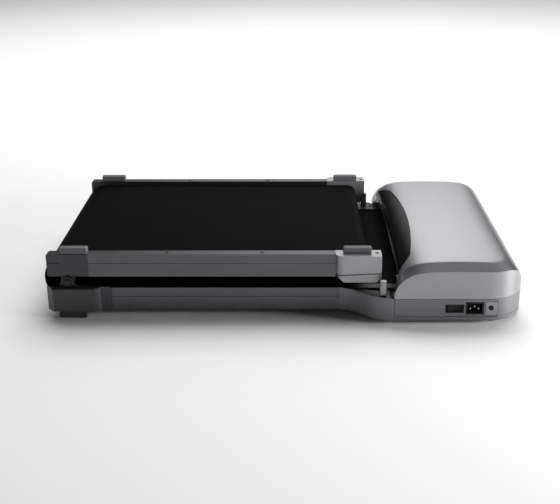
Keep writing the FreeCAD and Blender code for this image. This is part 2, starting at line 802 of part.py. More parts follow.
def hinge_cap():
    """The rear rail's end casting, with the ear that turns on the hinge pin."""
    low, high = "fold_z + rail_gap", "fold_z + rail_gap + rail_tall"
    outline = [("hinge_cap_start", low), ("rear_rail_start", low),
               ("rear_rail_start", high), ("hinge_cap_start", high)]
    thick = "rail_wide - cap_inset"
    corner = ("0", "-" + CAP_OUTER, "0")
    block = padded("hinge_cap_block", "XZ_Plane", [outline], thick, corner)
    round_edges(block, "cap_corner", lambda edge: (
        runs_along(edge, Y_AXIS) and edge.CenterOfMass.x < mm.hinge_cap_start + 0.1))
    neck = box("hinge_neck", ("fold_x - ear_radius", "-" + CAP_OUTER, "fold_z"),
               ("2 * ear_radius", thick, "rail_gap + rail_wall"))
    ear = rod("hinge_ear", ("fold_x", "-" + CAP_OUTER, "fold_z"), "ear_radius", thick)
    plug = rail_plug("hinge_plug", "rear_rail_start", "plug_long", "rear")
    bore = rod("hinge_ear_bore", ("fold_x", "-rail_outer", "fold_z"),
               "pin_radius + bush_wall", "rail_wide + 1")
    groove = box("hinge_cap_groove",
                 ("hinge_cap_start - 1", "-rail_outer", "rear_rail_high - groove_drop - groove_wide / 2"),
                 ("rear_rail_start - hinge_cap_start + 1", "cap_inset + groove_deep", "groove_wide"))
    grooved = cut("hinge_cap_grooved", fuse("hinge_cap_stock", block, neck, ear, plug), bore, groove)
    saddle = box("hinge_cap_saddle",
                 ("hinge_foot_x", "-" + CAP_OUTER + " - saddle_proud", "rear_rail_high - saddle_tall"),
                 ("rear_rail_start - slip_gap - hinge_foot_x", "saddle_proud + groove_deep + cap_inset",
                  "saddle_tall"))
    return fuse("rear_hinge_cap_right", grooved, saddle)


rear_cap = node(hinge_cap())
node(mirror("rear_hinge_cap_left", rear_cap))

node(both_sides("hinge_bushes", turned("hinge_bush_right", [
    ("pin_radius + fit_gap", "-" + CAP_OUTER),
    ("pin_radius + bush_wall - fit_gap / 2", "-" + CAP_OUTER),
    ("pin_radius + bush_wall - fit_gap / 2", "-rail_inner"), ("pin_radius + fit_gap", "-rail_inner"),
], ("fold_x", "0", "fold_z"))))

HEAD_FACE = "-(rail_inner + rail_wide + plate_offset + plate_thick + pin_head_thick)"
node(both_sides("hinge_pins", turned("hinge_pin_right", [
    ("0", HEAD_FACE), ("pin_head", HEAD_FACE), ("pin_head", "-" + PLATE_OUTER),
    ("pin_radius", "-" + PLATE_OUTER), ("pin_radius", "-rail_inner - slip_gap"),
    ("0", "-rail_inner - slip_gap"),
], ("fold_x", "0", "fold_z"))))


def hinge_plate():
    """A joggled steel plate: outside the rear half's ear, then inside the front rail."""
    outline = [
        ("plate_start", "plate_bottom"), ("front_rail_start", "plate_bottom"),
        ("front_rail_start", "plate_top"), ("fold_x + plate_ear * 2", "plate_top"),
        ("fold_x + plate_ear", "fold_z"), ("fold_x + plate_ear * 0.7", "fold_z + plate_ear * 0.7"),
        ("fold_x", "fold_z + plate_ear"), ("fold_x - plate_ear * 0.7", "fold_z + plate_ear * 0.7"),
        ("fold_x - plate_ear", "fold_z"), ("plate_start", "plate_top - plate_ear"),
    ]
    hole = ("fold_x", "fold_z", "pin_radius + fit_gap / 2")
    plate = padded("hinge_plate_flat", "XZ_Plane", [outline, hole], "plate_thick",
                   ("0", "-" + PLATE_OUTER, "0"))
    low = "plate_bottom"
    tall = "rail_tall - 4 * rail_wall"
    inside = "-rail_outer + rail_wall + plug_gap"
    joggle = box("hinge_plate_joggle", ("joggle_x", "-" + PLATE_OUTER, low),
                 ("front_rail_start - joggle_x", "plate_offset + rail_wall + plug_gap + 2 * plate_thick",
                  tall))
    tongue = box("hinge_plate_tongue", ("joggle_x", inside, low),
                 ("tongue_end - joggle_x", "plate_thick", tall))
    return fuse("hinge_plate_right", plate, joggle, tongue)


node(both_sides("hinge_plates", hinge_plate()))


def corner_cover():
    """A moulded cover over the hinge plate, tapered into the rail's side."""
    turn = [math.radians(angle) for angle in (18, 36, 54, 72, 90)]
    rounded_end = [("corner_flat_end + corner_turn_long * %.4f" % math.sin(angle),
                    "-corner_outer + (corner_proud - corner_lip) * %.4f" % (1 - math.cos(angle)))
                   for angle in turn]
    outline = [
        ("corner_start", "-" + PLATE_INNER), ("corner_flat_start", "-corner_outer"),
        ("corner_flat_end", "-corner_outer"), *rounded_end,
        ("corner_end", "-rail_outer - corner_lip"), ("corner_end", "-rail_outer - slip_gap"),
        ("front_rail_start + 0.5", "-rail_outer - slip_gap"),
        ("front_rail_start + 0.5", "-" + PLATE_INNER),
    ]
    shell = padded("corner_cover_block", "XY_Plane", [outline], "corner_top - corner_bottom",
                   ("0", "0", "corner_bottom"))
    round_edges(shell, "corner_round", lambda edge: (
        abs(edge.CenterOfMass.z - mm.corner_top) < 0.01
        and edge.CenterOfMass.y < 0.01 - mm.corner_outer))
    slot = box("corner_cover_slot",
               ("plate_start - slip_gap", "-" + PLATE_OUTER + " - slip_gap", "plate_bottom - slip_gap"),
               ("front_rail_start + 0.5 + slip_gap - plate_start + slip_gap",
                "plate_thick + slip_gap + plate_offset", "corner_top"))
    head_room = rod("corner_cover_head_room", ("fold_x", "-corner_outer + 1", "fold_z"),
                    "pin_head + slip_gap", "corner_outer - rail_inner - rail_wide")
    return cut("corner_cover_right", shell, slot, head_room)


cover = node(corner_cover())
node(mirror("corner_cover_left", cover))


# ---- tail caps of the rear half ----

def parting_channel():
    """A channel round the outside of a tail cap, along the line where its lid meets it."""
    half = "reveal_wide / 2"
    band = padded("parting_band", "XZ_Plane", [[
        ("tail_start - 1", "split_left_z - " + half), ("split_right_x", "split_right_z - " + half),
        ("tail_end + 1", "split_right_z - " + half), ("tail_end + 1", "split_right_z + " + half),
        ("split_right_x", "split_right_z + " + half), ("tail_start - 1", "split_left_z + " + half),
    ]], "tail_proud", ("0", "-tail_outer - 1", "0"))
    core = padded("parting_core", "XY_Plane", [[
        ("tail_start + reveal_deep", "1 - rail_outer"),
        ("tail_start + reveal_deep", "reveal_deep - tail_outer"),
        ("tail_end + 2", "reveal_deep - tail_outer"), ("tail_end + 2", "1 - rail_outer"),
    ]], "rear_rail_high - fold_z", ("0", "0", "fold_z"))
    round_edges(core, "tail_round - reveal_deep", lambda edge: (
        runs_along(edge, Z_AXIS) and edge.CenterOfMass.x < mm.tail_start + mm.reveal_deep + 0.1
        and edge.CenterOfMass.y < mm.reveal_deep + 0.1 - mm.tail_outer))
    return cut("parting_channel", band, core)


channel = parting_channel()


def tail_cap():
    """The casting that ends the rear rail and holds the tail roller's axle."""
    gap = "split_gap / 2"
    outline = [
        ("tail_start", "split_left_z + " + gap), ("split_right_x", "split_right_z + " + gap),
        ("lid_end + " + gap, "split_right_z + " + gap), ("lid_end + " + gap, "lip_bottom"),
        ("tail_end", "lip_bottom"), ("tail_end", "tail_top"), ("tail_start", "tail_top"),
    ]
    thick = "tail_outer - rail_inner"
    body = padded("tail_cap_block", "XZ_Plane", [outline], thick, ("0", "-tail_outer", "0"))
    round_edges(body, "tail_round", lambda edge: (
        runs_along(edge, Z_AXIS) and edge.CenterOfMass.x < mm.tail_start + 0.1
        and edge.CenterOfMass.y < 0.1 - mm.tail_outer))
    plug = rail_plug("tail_plug", "tail_start - plug_long", "plug_long", "rear")
    slot = box("tail_axle_slot",
               ("tail_x - 3 * tail_axle_radius", "-" + AXLE_REACH + " - slip_gap",
                TAIL_Z + " - tail_axle_radius - fit_gap"),
               ("6 * tail_axle_radius", "rail_wide", "2 * (tail_axle_radius + fit_gap)"))
    line = "-rail_inner - rail_wide / 2"
    screw_bore = rod("tension_screw_hole", ("tail_x", line, TAIL_Z), "tension_radius + fit_gap",
                     "tail_end - tail_x", "x")
    recess = rod("tension_head_recess", ("tail_end - tension_head_long - slip_gap", line, TAIL_Z),
                 "tension_head + slip_gap", "2 * tension_head_long", "x")
    cap_hole = screw_hole("cap_screw_hole", CAP_SCREW, "tail_top", "screw_long")
    return cut("tail_cap_right", fuse("tail_cap_stock", body, plug), slot, screw_bore, recess, cap_hole,
               channel)


cap = node(tail_cap())
node(mirror("tail_cap_left", cap))


def tail_lid():
    """The screwed-on lower shell of a tail cap, with a sloping parting line."""
    gap = "split_gap / 2"
    outline = [
        ("lid_start", "split_left_z - 3"), ("lid_start + tail_round", "lid_bottom"),
        ("lid_end - 6", "lid_bottom"), ("lid_end", "lip_bottom"),
        ("lid_end", "split_right_z - " + gap), ("split_right_x", "split_right_z - " + gap),
        ("lid_start", "split_left_z - " + gap),
    ]
    body = padded("tail_lid_block", "XZ_Plane", [outline], "tail_outer - lid_inset - rail_inner",
                  ("0", "lid_inset - tail_outer", "0"))
    round_edges(body, "tail_round * 0.8", lambda edge: (
        runs_along(edge, Z_AXIS) and edge.CenterOfMass.x < mm.lid_start + 0.1
        and edge.CenterOfMass.y < 1 - mm.tail_outer + mm.lid_inset))
    return cut("tail_lid_right", body, channel)


node(both_sides("tail_lids", tail_lid()))


def tension_screw():
    """The bolt that sets the belt's tension against the tail axle."""
    line = "-rail_inner - rail_wide / 2"
    start = "tail_x + tail_axle_radius + fit_gap"
    head = "tail_end - tension_head_long - slip_gap"
    shank = rod("tension_shank", (start, line, TAIL_Z), "tension_radius", "%s - (%s)" % (head, start), "x")
    cap_head = rod("tension_cap_head", (head, line, TAIL_Z), "tension_head", "tension_head_long", "x")
    return fuse("tension_screw_right", shank, cap_head)


node(both_sides("tension_screws", tension_screw()))


# ---- feet ----

def rubber_foot(label, corner, lengths, points_up):
    """A pad with softened edges on the face that meets the floor."""
    long, wide, tall = lengths
    outline = [("0", "0"), (long, "0"), (long, wide), ("0", wide)]
    body = padded(label, "XY_Plane", [outline], tall, corner)
    level = number("%s + %s" % (corner[2], tall)) if points_up else number(corner[2])
    return round_edges(body, "foot_edge", lambda edge: abs(edge.CenterOfMass.z - level) < 0.01)


rear_foot_side = "-foot_side - foot_wide"
node(group(
    "rear_feet",
    *[piece for name, left, level, tall in (
        ("hinge", "hinge_foot_x", REAR_FOOT_Z, "foot_tall"),
        ("tail", "tail_foot_x", "tail_top", "foot_tall - (tail_top - (%s))" % REAR_FOOT_Z))
      for foot in [rubber_foot(name + "_end_foot", (left, rear_foot_side, level),
                               ("foot_long", "foot_wide", tall), True)]
      for piece in (foot, mirror(name + "_end_foot_other", foot))]))

node(both_sides("hinge_end_feet", rubber_foot(
    "hinge_end_foot", ("corner_foot_x", "-corner_foot_side - corner_foot_wide", "0"),
    ("foot_long", "corner_foot_wide", "corner_bottom"), False)))


# ---- hood ----

def edge_normals(points):
    """Outward directions at the points of an open outline that runs from left to right."""
    normals = []
    for place_in_list, _ in enumerate(points):
        before = points[max(place_in_list - 1, 0)]
        after = points[min(place_in_list + 1, len(points) - 1)]
        along, up = after[0] - before[0], after[1] - before[1]
        length = math.hypot(along, up)
        normals.append((-up / length, along / length))
    return normals


def hood_section(side, share, inset):
    """The hood's outline at a distance from the middle plane.

    share runs from 0, the middle's shape, to 1, the shape at the sides.
    """
    left, right, low = mm.hood_left, mm.hood_right, mm.parting_z
    crown, edge = mm.crown_z, mm.shoulder_z
    middle = [
        (mm.crease_x, mm.crease_z), (left + 15, crown - 14), (left + 27, crown - 7.5),
        (left + 43, crown - 3.2), (left + 70, crown - 0.8), (left + 110, crown),
        (right - 76, crown - 0.8), (right - 50, crown - 2.5), (right - 31, crown - 6.5),
        (right - 17, crown - 14), (right - 7, crown - 31), (right - 2, low + 14), (right, low),
    ]
    side_shape = [
        (left, low + 10), (left + 5, edge - 27), (left + 12, edge - 18.5), (left + 24, edge - 9.5),
        (left + 46, edge - 2.5), (left + 82, edge), (right - 76, edge - 0.3), (right - 50, edge - 1),
        (right - 31, edge - 2), (right - 17, edge - 7), (right - 7, edge - 20), (right - 2, low + 12),
        (right, low),
    ]
    shape = [(a[0] + (b[0] - a[0]) * share, a[1] + (b[1] - a[1]) * share)
             for a, b in zip(middle, side_shape)]
    shape = [(x - nx * inset, z - nz * inset) for (x, z), (nx, nz) in zip(shape, edge_normals(shape))]
    foot = left + 14 * (1 - share) + inset
    floor = low - inset
    shape[-1] = (right - inset, floor)
    corners = [FreeCAD.Vector(x, side, z) for x, z in shape]
    top = Part.BSplineCurve()
    top.interpolate(corners)
    start = FreeCAD.Vector(foot, side, floor)
    return Part.Wire([top.toShape(), Part.LineSegment(corners[-1], start).toShape(),
                      Part.LineSegment(start, corners[0]).toShape()])


def plan_prism(inset, low, high):
    """The hood's footprint, with two round corners in front, between two levels."""
    left, right = mm.hood_left + inset, mm.hood_right - inset
    half, turn = mm.hood_half - inset, mm.hood_corner - inset
    slant = turn * math.sqrt(0.5)

    def spot(x, y):
        return FreeCAD.Vector(x, y, low)

    edges = [Part.LineSegment(spot(left, -half), spot(right - turn, -half)).toShape(),
             Part.Arc(spot(right - turn, -half),
                      spot(right - turn + slant, turn - half - slant),
                      spot(right, turn - half)).toShape(),
             Part.LineSegment(spot(right, turn - half), spot(right, half - turn)).toShape(),
             Part.Arc(spot(right, half - turn), spot(right - turn + slant, half - turn + slant),
                      spot(right - turn, half)).toShape(),
             Part.LineSegment(spot(right - turn, half), spot(left, half)).toShape(),
             Part.LineSegment(spot(left, half), spot(left, -half)).toShape()]
    return Part.Face(Part.Wire(edges)).extrude(FreeCAD.Vector(0, 0, high - low))


def below_parting():
    """Everything under the hood's parting line."""
    return Part.makeBox(mm.hood_right, 2 * mm.hood_half + 2, mm.parting_z,
                        FreeCAD.Vector(mm.crease_x - mm.hood_corner, -mm.hood_half - 1, 0))


def hood_solid(inset):
    """The hood's outer form above the parting line, or the same form set inwards."""
    half = mm.hood_half - inset
    panel = mm.hood_half - mm.shoulder_wide
    stations = [(0, 0), (panel - mm.station_inner, 0.08), (panel - mm.station_outer, 0.2),
                (panel, 0.33), (half, 1)]
    rows = [(-distance, share) for distance, share in reversed(stations[1:])] + stations
    wires = [hood_section(side, share, inset) for side, share in rows]
    loft = Part.makeLoft(wires, True, True)
    return loft.common(plan_prism(inset, 0, mm.crown_z + 20))


def visor_prism(grow):
    """The display window's outline seen from above."""
    reach = mm.hood_left + mm.visor_reach + grow
    half, end = mm.visor_half + grow, mm.visor_foot + grow
    edge = reach - mm.visor_bow
    back, foot = mm.hood_left - 10, mm.hood_left - 3

    def spot(x, y):
        return FreeCAD.Vector(x, y, 0)

    edges = [Part.LineSegment(spot(back, -end), spot(foot, -end)).toShape(),
             Part.LineSegment(spot(foot, -end), spot(edge, -half)).toShape(),
             Part.Arc(spot(edge, -half), spot(reach, 0), spot(edge, half)).toShape(),
             Part.LineSegment(spot(edge, half), spot(foot, end)).toShape(),
             Part.LineSegment(spot(foot, end), spot(back, end)).toShape(),
             Part.LineSegment(spot(back, end), spot(back, -end)).toShape()]
    return Part.Face(Part.Wire(edges)).extrude(FreeCAD.Vector(0, 0, mm.crown_z + 10))


hood_shell = hood_solid(0).cut(hood_solid(mm.cover_wall)).cut(below_parting())
entry = Part.makeBox(mm.hood_corner, 2 * mm.entry_half, mm.entry_top,
                     FreeCAD.Vector(mm.hood_left - 30, -mm.entry_half, 0))
hood_shell = hood_shell.cut(entry)
hood_cover = node(built("hood_cover", hood_shell.cut(visor_prism(mm.visor_gap))))
display_window = node(built("display_window", hood_shell.common(visor_prism(0))))


# ---- hood base, tray and transition covers ----

def wedge_over(low, high):
    """A block over the belt entry, as wide as the entry, at the hood's left edge."""
    return Part.makeBox(mm.hood_corner, 2 * mm.entry_half, high - low,
                        FreeCAD.Vector(mm.hood_left - 30, -mm.entry_half, low))


def base_shell():
    """The hood's side wall between tray and parting line, open where the belt comes in."""
    wall = plan_prism(0, mm.tray_top + mm.tray_seam, mm.crown_z).cut(plan_prism(mm.cover_wall, 0, mm.crown_z))
    wall = wall.common(below_parting()).cut(wedge_over(0, mm.crown_z))
    panel = Part.makeBox(mm.panel_long, 20, mm.panel_high - mm.panel_low,
                         FreeCAD.Vector(mm.panel_x, -mm.hood_half - 10, mm.panel_low))
    return wall.cut(panel)


node(built("base_shell", base_shell()))


def bottom_tray():
    """The tray under the hood, with saddles for the rails, wheel forks and board posts."""
    floor = mm.hood_bottom + mm.cover_wall
    tray = plan_prism(0, mm.hood_bottom, mm.tray_top)
    rim = [edge for edge in tray.Edges
           if abs(edge.BoundBox.ZMax - mm.hood_bottom) < 0.01 and edge.BoundBox.XMax > mm.hood_left + 1]
    tray = tray.makeChamfer(mm.tray_inset, rim)
    hollow = plan_prism(mm.cover_wall + mm.tray_inset, floor, mm.tray_top + 1)
    tray = tray.cut(hollow)
    rail_low = mm.front_rail_low
    tray = tray.cut(Part.makeBox(20, 2 * mm.entry_half, 20,
                                 FreeCAD.Vector(mm.hood_left - 10, -mm.entry_half, rail_low)))
    additions, holes = [], []
    for side in (-1, 1):
        holes.append(Part.makeBox(mm.seam_wide, 2 * mm.seam_deep, mm.tray_top,
                                  FreeCAD.Vector(mm.seam_x - mm.seam_wide / 2,
                                                 side * mm.hood_half - mm.seam_deep, 0)))
        rail_side = side * (mm.rail_inner + mm.rail_wide / 2) - 7
        additions.append(Part.makeBox(mm.front_rail_end - mm.hood_left - 10, 14, rail_low - floor,
                                      FreeCAD.Vector(mm.hood_left + 8, rail_side, floor)))
        middle = side * (mm.wheel_side + mm.wheel_wide / 2)
        gap = mm.wheel_wide / 2 + 1
        long = mm.wheel_radius + 1.5
        holes.append(Part.makeBox(2 * long, 2 * gap, 60,
                                  FreeCAD.Vector(mm.wheel_x - long, middle - gap, 0)))
        for cheek in (-1, 1):
            inner = middle + cheek * (gap + mm.fork_wall / 2) - mm.fork_wall / 2
            additions.append(Part.makeBox(4 * mm.wheel_axle_radius, mm.fork_wall, mm.fork_top - floor,
                                          FreeCAD.Vector(mm.wheel_x - 2 * mm.wheel_axle_radius,
                                                         inner, floor)))
        holes.append(Part.makeCylinder(mm.wheel_axle_radius + mm.fit_gap,
                                       2 * (gap + mm.fork_wall) + 1,
                                       FreeCAD.Vector(mm.wheel_x, middle - gap - mm.fork_wall - 0.5,
                                                      mm.wheel_z), Y_AXIS))
    for along in (10, mm.board_long - 10):
        for over in (10, mm.board_wide - 10):
            additions.append(Part.makeCylinder(3, mm.board_z - floor,
                                               FreeCAD.Vector(mm.board_x + along,
                                                              mm.board_side + over, floor)))
    return tray.fuse(additions).cut(Part.makeCompound(holes)).removeSplitter()


node(built("bottom_tray", bottom_tray()))


# the transition cover's swell: shares of its length, and of the step from rail to hood
FLARE_STEPS = [(0, 0), (0.22, 0.159), (0.4405, 0.504), (0.6498, 0.8488), (0.826, 0.9788), (1, 1)]


def flare_wire(inset, low):
    """Transition cover seen from above: rail width on the left, hood width on the right."""
    rail = -(mm.rail_outer + mm.slip_gap)
    start, end = mm.flare_start, mm.flare_end
    steps = [(start + mm.flare_long * along, rail - (mm.hood_half + rail) * out)
             for along, out in FLARE_STEPS]
    outer = Part.BSplineCurve()
    points = [FreeCAD.Vector(x, min(y + inset, rail - 0.01 * (x > start)), low) for x, y in steps]
    outer.interpolate(points, False)
    corner = FreeCAD.Vector(end, rail, low)
    return Part.Wire([outer.toShape(), Part.LineSegment(points[-1], corner).toShape(),
                      Part.LineSegment(corner, points[0]).toShape()])


def transition_cover():
    """The shell that widens the front rail to the hood, open underneath."""
    def side_outline(inset):
        bottom = mm.flare_bottom - 30 * (inset > 0)
        return across(flat_loop([
            ((mm.flare_start, bottom),), ((mm.flare_end, bottom - mm.flare_dip * (inset == 0)),),
            ((mm.flare_end, mm.parting_z - inset),), ((mm.flare_end - 7, mm.post_seat - inset),),
            ((mm.flare_end - 30, mm.post_seat - inset),), ((mm.flare_start, mm.flare_top - inset),),
        ]), -mm.hood_half - 10, mm.hood_half)

    outer = Part.Face(flare_wire(0, 0)).extrude(FreeCAD.Vector(0, 0, mm.crown_z))
    inner = Part.Face(flare_wire(mm.cover_wall, -1)).extrude(FreeCAD.Vector(0, 0, mm.crown_z))
    inner = inner.common(side_outline(mm.cover_wall))
    inner.translate(FreeCAD.Vector(mm.cover_wall, 0, 0))
    outer = outer.common(side_outline(0))
    return outer.cut(inner)


transition = node(built("transition_cover_right", transition_cover()))
node(mirror("transition_cover_left", transition))

post = padded("rest_post_right", "XY_Plane",
              [[("0", "0"), ("post_long", "0"), ("post_long", "post_wide"), ("0", "post_wide")]],
              "post_tall", ("post_x", "-post_side - post_wide", "post_seat"))
round_edges(post, "2", lambda edge: runs_along(edge, Z_AXIS))
node(both_sides("rest_posts", post))

pads = []
for number_in_row, (left, side) in enumerate((("hood_left + 28", "33"), ("hood_right - 60", "139"))):
    pad = rubber_foot("hood_foot_%d" % number_in_row, (left, "%s - hood_half - foot_wide" % side, "0"),
                      ("foot_long * 0.7", "foot_wide", "hood_bottom"), False)
    pads += [pad, mirror(pad.Label + "_other", pad)]
node(group("hood_feet", *pads))


# ---- drive ----

def motor():
    """A brushless motor lying across the hood, with a slimmer bell at each end."""
    outline = [
        ("0", "motor_start"), ("bell_radius", "motor_start"), ("bell_radius", "motor_start + bell_long"),
        ("motor_radius", "motor_start + bell_long"), ("motor_radius", "motor_end - bell_long"),
        ("bell_radius", "motor_end - bell_long"), ("bell_radius", "motor_end"),
        ("shaft_radius + fit_gap", "motor_end"), ("shaft_radius + fit_gap", "motor_end - 2 * bell_long"),
        ("0", "motor_end - 2 * bell_long"),
    ]
    return turned("motor_body", outline, ("motor_x", "0", "motor_z"))


node(motor())
node(turned("motor_rotor", [
    ("0", "motor_end - 2 * bell_long + slip_gap"), ("shaft_radius", "motor_end - 2 * bell_long + slip_gap"),
    ("shaft_radius", "flywheel_start"), ("flywheel_radius", "flywheel_start"),
    ("flywheel_radius", "flywheel_start + flywheel_thick"),
    ("shaft_radius", "flywheel_start + flywheel_thick"), ("shaft_radius", "pulley_side"),
    ("motor_pulley_radius + pulley_lip", "pulley_side"),
    ("motor_pulley_radius + pulley_lip", "pulley_side + pulley_lip"),
    ("motor_pulley_radius", "pulley_side + pulley_lip"),
    ("motor_pulley_radius", "pulley_side + pulley_wide - pulley_lip"),
    ("motor_pulley_radius + pulley_lip", "pulley_side + pulley_wide - pulley_lip"),
    ("motor_pulley_radius + pulley_lip", "pulley_side + pulley_wide"),
    ("shaft_radius", "pulley_side + pulley_wide"), ("shaft_radius", SHAFT_LEFT), ("0", SHAFT_LEFT),
], ("motor_x", "0", "motor_z")))

cradle = box("motor_cradle", ("motor_x - motor_radius * 0.7", "motor_start + 2 * bell_long",
                              "hood_bottom + cover_wall"),
             ("motor_radius * 1.4", "motor_end - motor_start - 4 * bell_long",
              "motor_z - motor_radius * 0.5 - hood_bottom - cover_wall"))
cradle_seat = rod("motor_seat", ("motor_x", "motor_start", "motor_z"), "motor_radius + slip_gap",
                  "motor_end - motor_start")
node(cut("motor_mount", cradle, cradle_seat))


def pulley_loop(extra):
    """The outline of a belt stretched round both pulleys."""
    first = (mm.drive_x, mm.fold_z - mm.roller_drop, mm.drive_pulley_radius + extra)
    second = (mm.motor_x, mm.motor_z, mm.motor_pulley_radius + extra)
    along, up = second[0] - first[0], second[1] - first[1]
    reach = math.hypot(along, up)
    aim = math.atan2(up, along)
    open_angle = math.acos((first[2] - second[2]) / reach)

    def on(circle, angle):
        return (circle[0] + circle[2] * math.cos(angle), circle[1] + circle[2] * math.sin(angle))

    return flat_loop([
        (on(first, aim + math.pi), on(first, aim + open_angle)),
        (on(second, aim + open_angle),),
        (on(second, aim), on(second, aim - open_angle)),
        (on(first, aim - open_angle),),
    ])


def drive_belt():
    """The ribbed belt from motor to drive roller."""
    start = mm.pulley_side + (mm.pulley_wide - mm.drive_belt_wide) / 2
    outer = across(pulley_loop(mm.slip_gap + mm.drive_belt_thick), start, mm.drive_belt_wide)
    return outer.cut(across(pulley_loop(mm.slip_gap), start - 1, mm.drive_belt_wide + 2))


node(built("drive_belt", drive_belt()))


# ---- electrics inside the hood ----

board = box("control_board_sheet", ("board_x", "board_side", "board_z"),
            ("board_long", "board_wide", "board_thick"))
capacitors = [rod("capacitor_%d" % count, ("board_x + board_long - 14",
                                           "board_side + %d" % (16 + 22 * count),
                                           "board_z + board_thick"), "8", "26", "z")
              for count in range(3)]
relay = box("relay", ("board_x + 8", "board_side + 30", "board_z + board_thick"), ("20", "16", "16"))
node(fuse("control_board", board, relay, *capacitors))

sink = box("heat_sink_base", ("sink_x", "sink_side", "board_z + board_thick"),
           ("sink_long", "sink_wide - 6", "sink_base"))
fins = [box("heat_sink_fin_%d" % count,
            ("sink_x + %d * (sink_long - sink_fin) / (sink_fins - 1)" % count, "sink_side",
             "board_z + board_thick"), ("sink_fin", "sink_wide - 6", "sink_tall"))
        for count in range(int(mm.sink_fins))]
node(fuse("heat_sink", sink, *fins))


def display_board():
    """The lamp board under the display window, hung on two posts from the window's frame."""
    low = mm.crease_z - 2
    sheet_part = Part.makeBox(18, 124, 1.6, FreeCAD.Vector(mm.crease_x + 9, -62, low))
    lamps = [Part.makeBox(9, 16, 3.5, FreeCAD.Vector(mm.crease_x + 13, side * 24 - 8, low + 1.6))
             for side in (-2, -1, 0, 1, 2)]
    roof = hood_solid(mm.cover_wall + 0.3)
    posts = [Part.makeCylinder(2.5, 40, FreeCAD.Vector(mm.crease_x + 21, side * 54, low)).common(roof)
             for side in (-1, 1)]
    return sheet_part.fuse(lamps + posts)


node(built("display_board", display_board()))


# ---- connector panel ----

PANEL_FACE = "-panel_face"


def panel_block(label, name, deep):
    """The housing of one connector, set into the panel."""
    return box(label, (name + "_x", PANEL_FACE, name + "_low"),
               (name + "_long", deep, name + "_tall"))


plate = box("panel_plate", ("panel_x", PANEL_FACE, "panel_low"),
            ("panel_long", "panel_thick", "panel_high - panel_low"))
holes = [box("panel_hole_" + name, (name + "_x - 0.1", PANEL_FACE + " - 1", name + "_low - 0.1"),
             (name + "_long + 0.2", "panel_thick + 2", name + "_tall + 0.2"))
         for name in ("switch", "inlet", "breaker")]
node(cut("socket_panel", plate, *holes))

ROCKER_MIDDLE = ("(switch_x + switch_long / 2)", "-rocker_pivot", "(switch_low + switch_tall / 2)")
well = box("rocker_well", (ROCKER_MIDDLE[0] + " - rocker_long / 2 - 1", PANEL_FACE + " - 1",
                           ROCKER_MIDDLE[2] + " - rocker_tall / 2 - slip_gap"),
           ("rocker_long + 2", "14", "rocker_tall + 2 * slip_gap"))
trunnion = rod("rocker_trunnion_hole", (ROCKER_MIDDLE[0], "-rocker_pivot", "switch_low + 0.8"),
               "1.5 + fit_gap", "switch_tall - 1.6", "z")
node(cut("switch_housing", panel_block("switch_block", "switch", "switch_deep"), well, trunnion))


def rocker():
    """The power switch's rocker, resting with its right end pressed in."""
    half, face = mm.rocker_long / 2, mm.panel_face - mm.rocker_pivot - 1.6
    lift = math.radians(mm.rocker_swing)
    x, z = mm.switch_x + mm.switch_long / 2, mm.switch_low + mm.switch_tall / 2

    def spot(along, out):
        return FreeCAD.Vector(along, -out, 0)

    outline = [spot(-half, face), spot(0, face - half * math.sin(lift) * 0.8), spot(half, face),
               spot(half - 2, -1), spot(0, -3.5), spot(2 - half, -1)]
    solid = Part.Face(Part.makePolygon(outline + outline[:1])).extrude(
        FreeCAD.Vector(0, 0, mm.rocker_tall))
    solid.translate(FreeCAD.Vector(0, 0, -mm.rocker_tall / 2))
    pin = Part.makeCylinder(1.5, mm.switch_tall - 2, FreeCAD.Vector(0, 0, 1 - mm.switch_tall / 2))
    solid = solid.fuse(pin)
    solid.rotate(FreeCAD.Vector(), Z_AXIS, mm.rocker_swing)
    solid.translate(FreeCAD.Vector(x, -mm.rocker_pivot, z))
    return solid


node(built("switch_rocker", rocker()))

INLET_MIDDLE = ("(inlet_x + inlet_long / 2)", "(inlet_low + inlet_tall / 2)")
socket = box("inlet_socket", (INLET_MIDDLE[0] + " - socket_long / 2", PANEL_FACE + " - 1",
                              INLET_MIDDLE[1] + " - socket_tall / 2"),
             ("socket_long", "socket_deep + 1", "socket_tall"))
node(cut("power_inlet", panel_block("inlet_block", "inlet", "inlet_deep"), socket))
blades = [box("inlet_blade_%d" % count,
              (INLET_MIDDLE[0] + " + %d * pin_pitch - blade_thick / 2" % side,
               PANEL_FACE + " + socket_deep - blade_out",
               INLET_MIDDLE[1] + " - blade_long / 2 + %d * earth_lift - 1.5" % lift),
              ("blade_thick", "blade_out", "blade_long"))
          for count, (side, lift) in enumerate(((-1, 0), (0, 1), (1, 0)))]
node(group("inlet_pins", *blades))

bore = rod("breaker_bore", ("button_x", PANEL_FACE + " - 1", "button_z"), "button_radius + fit_gap", "14")
node(cut("reset_breaker", panel_block("breaker_block", "breaker", "breaker_deep"), bore))
node(rod("reset_button", ("button_x", "-panel_face + 0.4", "button_z"), "button_radius",
         "14 - 1.4 - button_travel - slip_gap"))


# ---- transport wheels ----

wheel = turned("front_wheel_right", [
    ("wheel_axle_radius + fit_gap", "-wheel_side - wheel_wide"),
    ("wheel_radius - 1.5", "-wheel_side - wheel_wide"),
    ("wheel_radius", "-wheel_side - wheel_wide + 1.5"), ("wheel_radius", "-wheel_side - 1.5"),
    ("wheel_radius - 1.5", "-wheel_side"), ("wheel_axle_radius + fit_gap", "-wheel_side"),
], ("wheel_x", "0", "wheel_z"))
node(wheel)
node(mirror("front_wheel_left", wheel))
node(both_sides("wheel_axles", rod(
    "wheel_axle_right", ("wheel_x", "-wheel_side - wheel_wide - 1 - fork_wall", "wheel_z"),
    "wheel_axle_radius", "wheel_wide + 2 + 2 * fork_wall")))


# ---- check and write ----

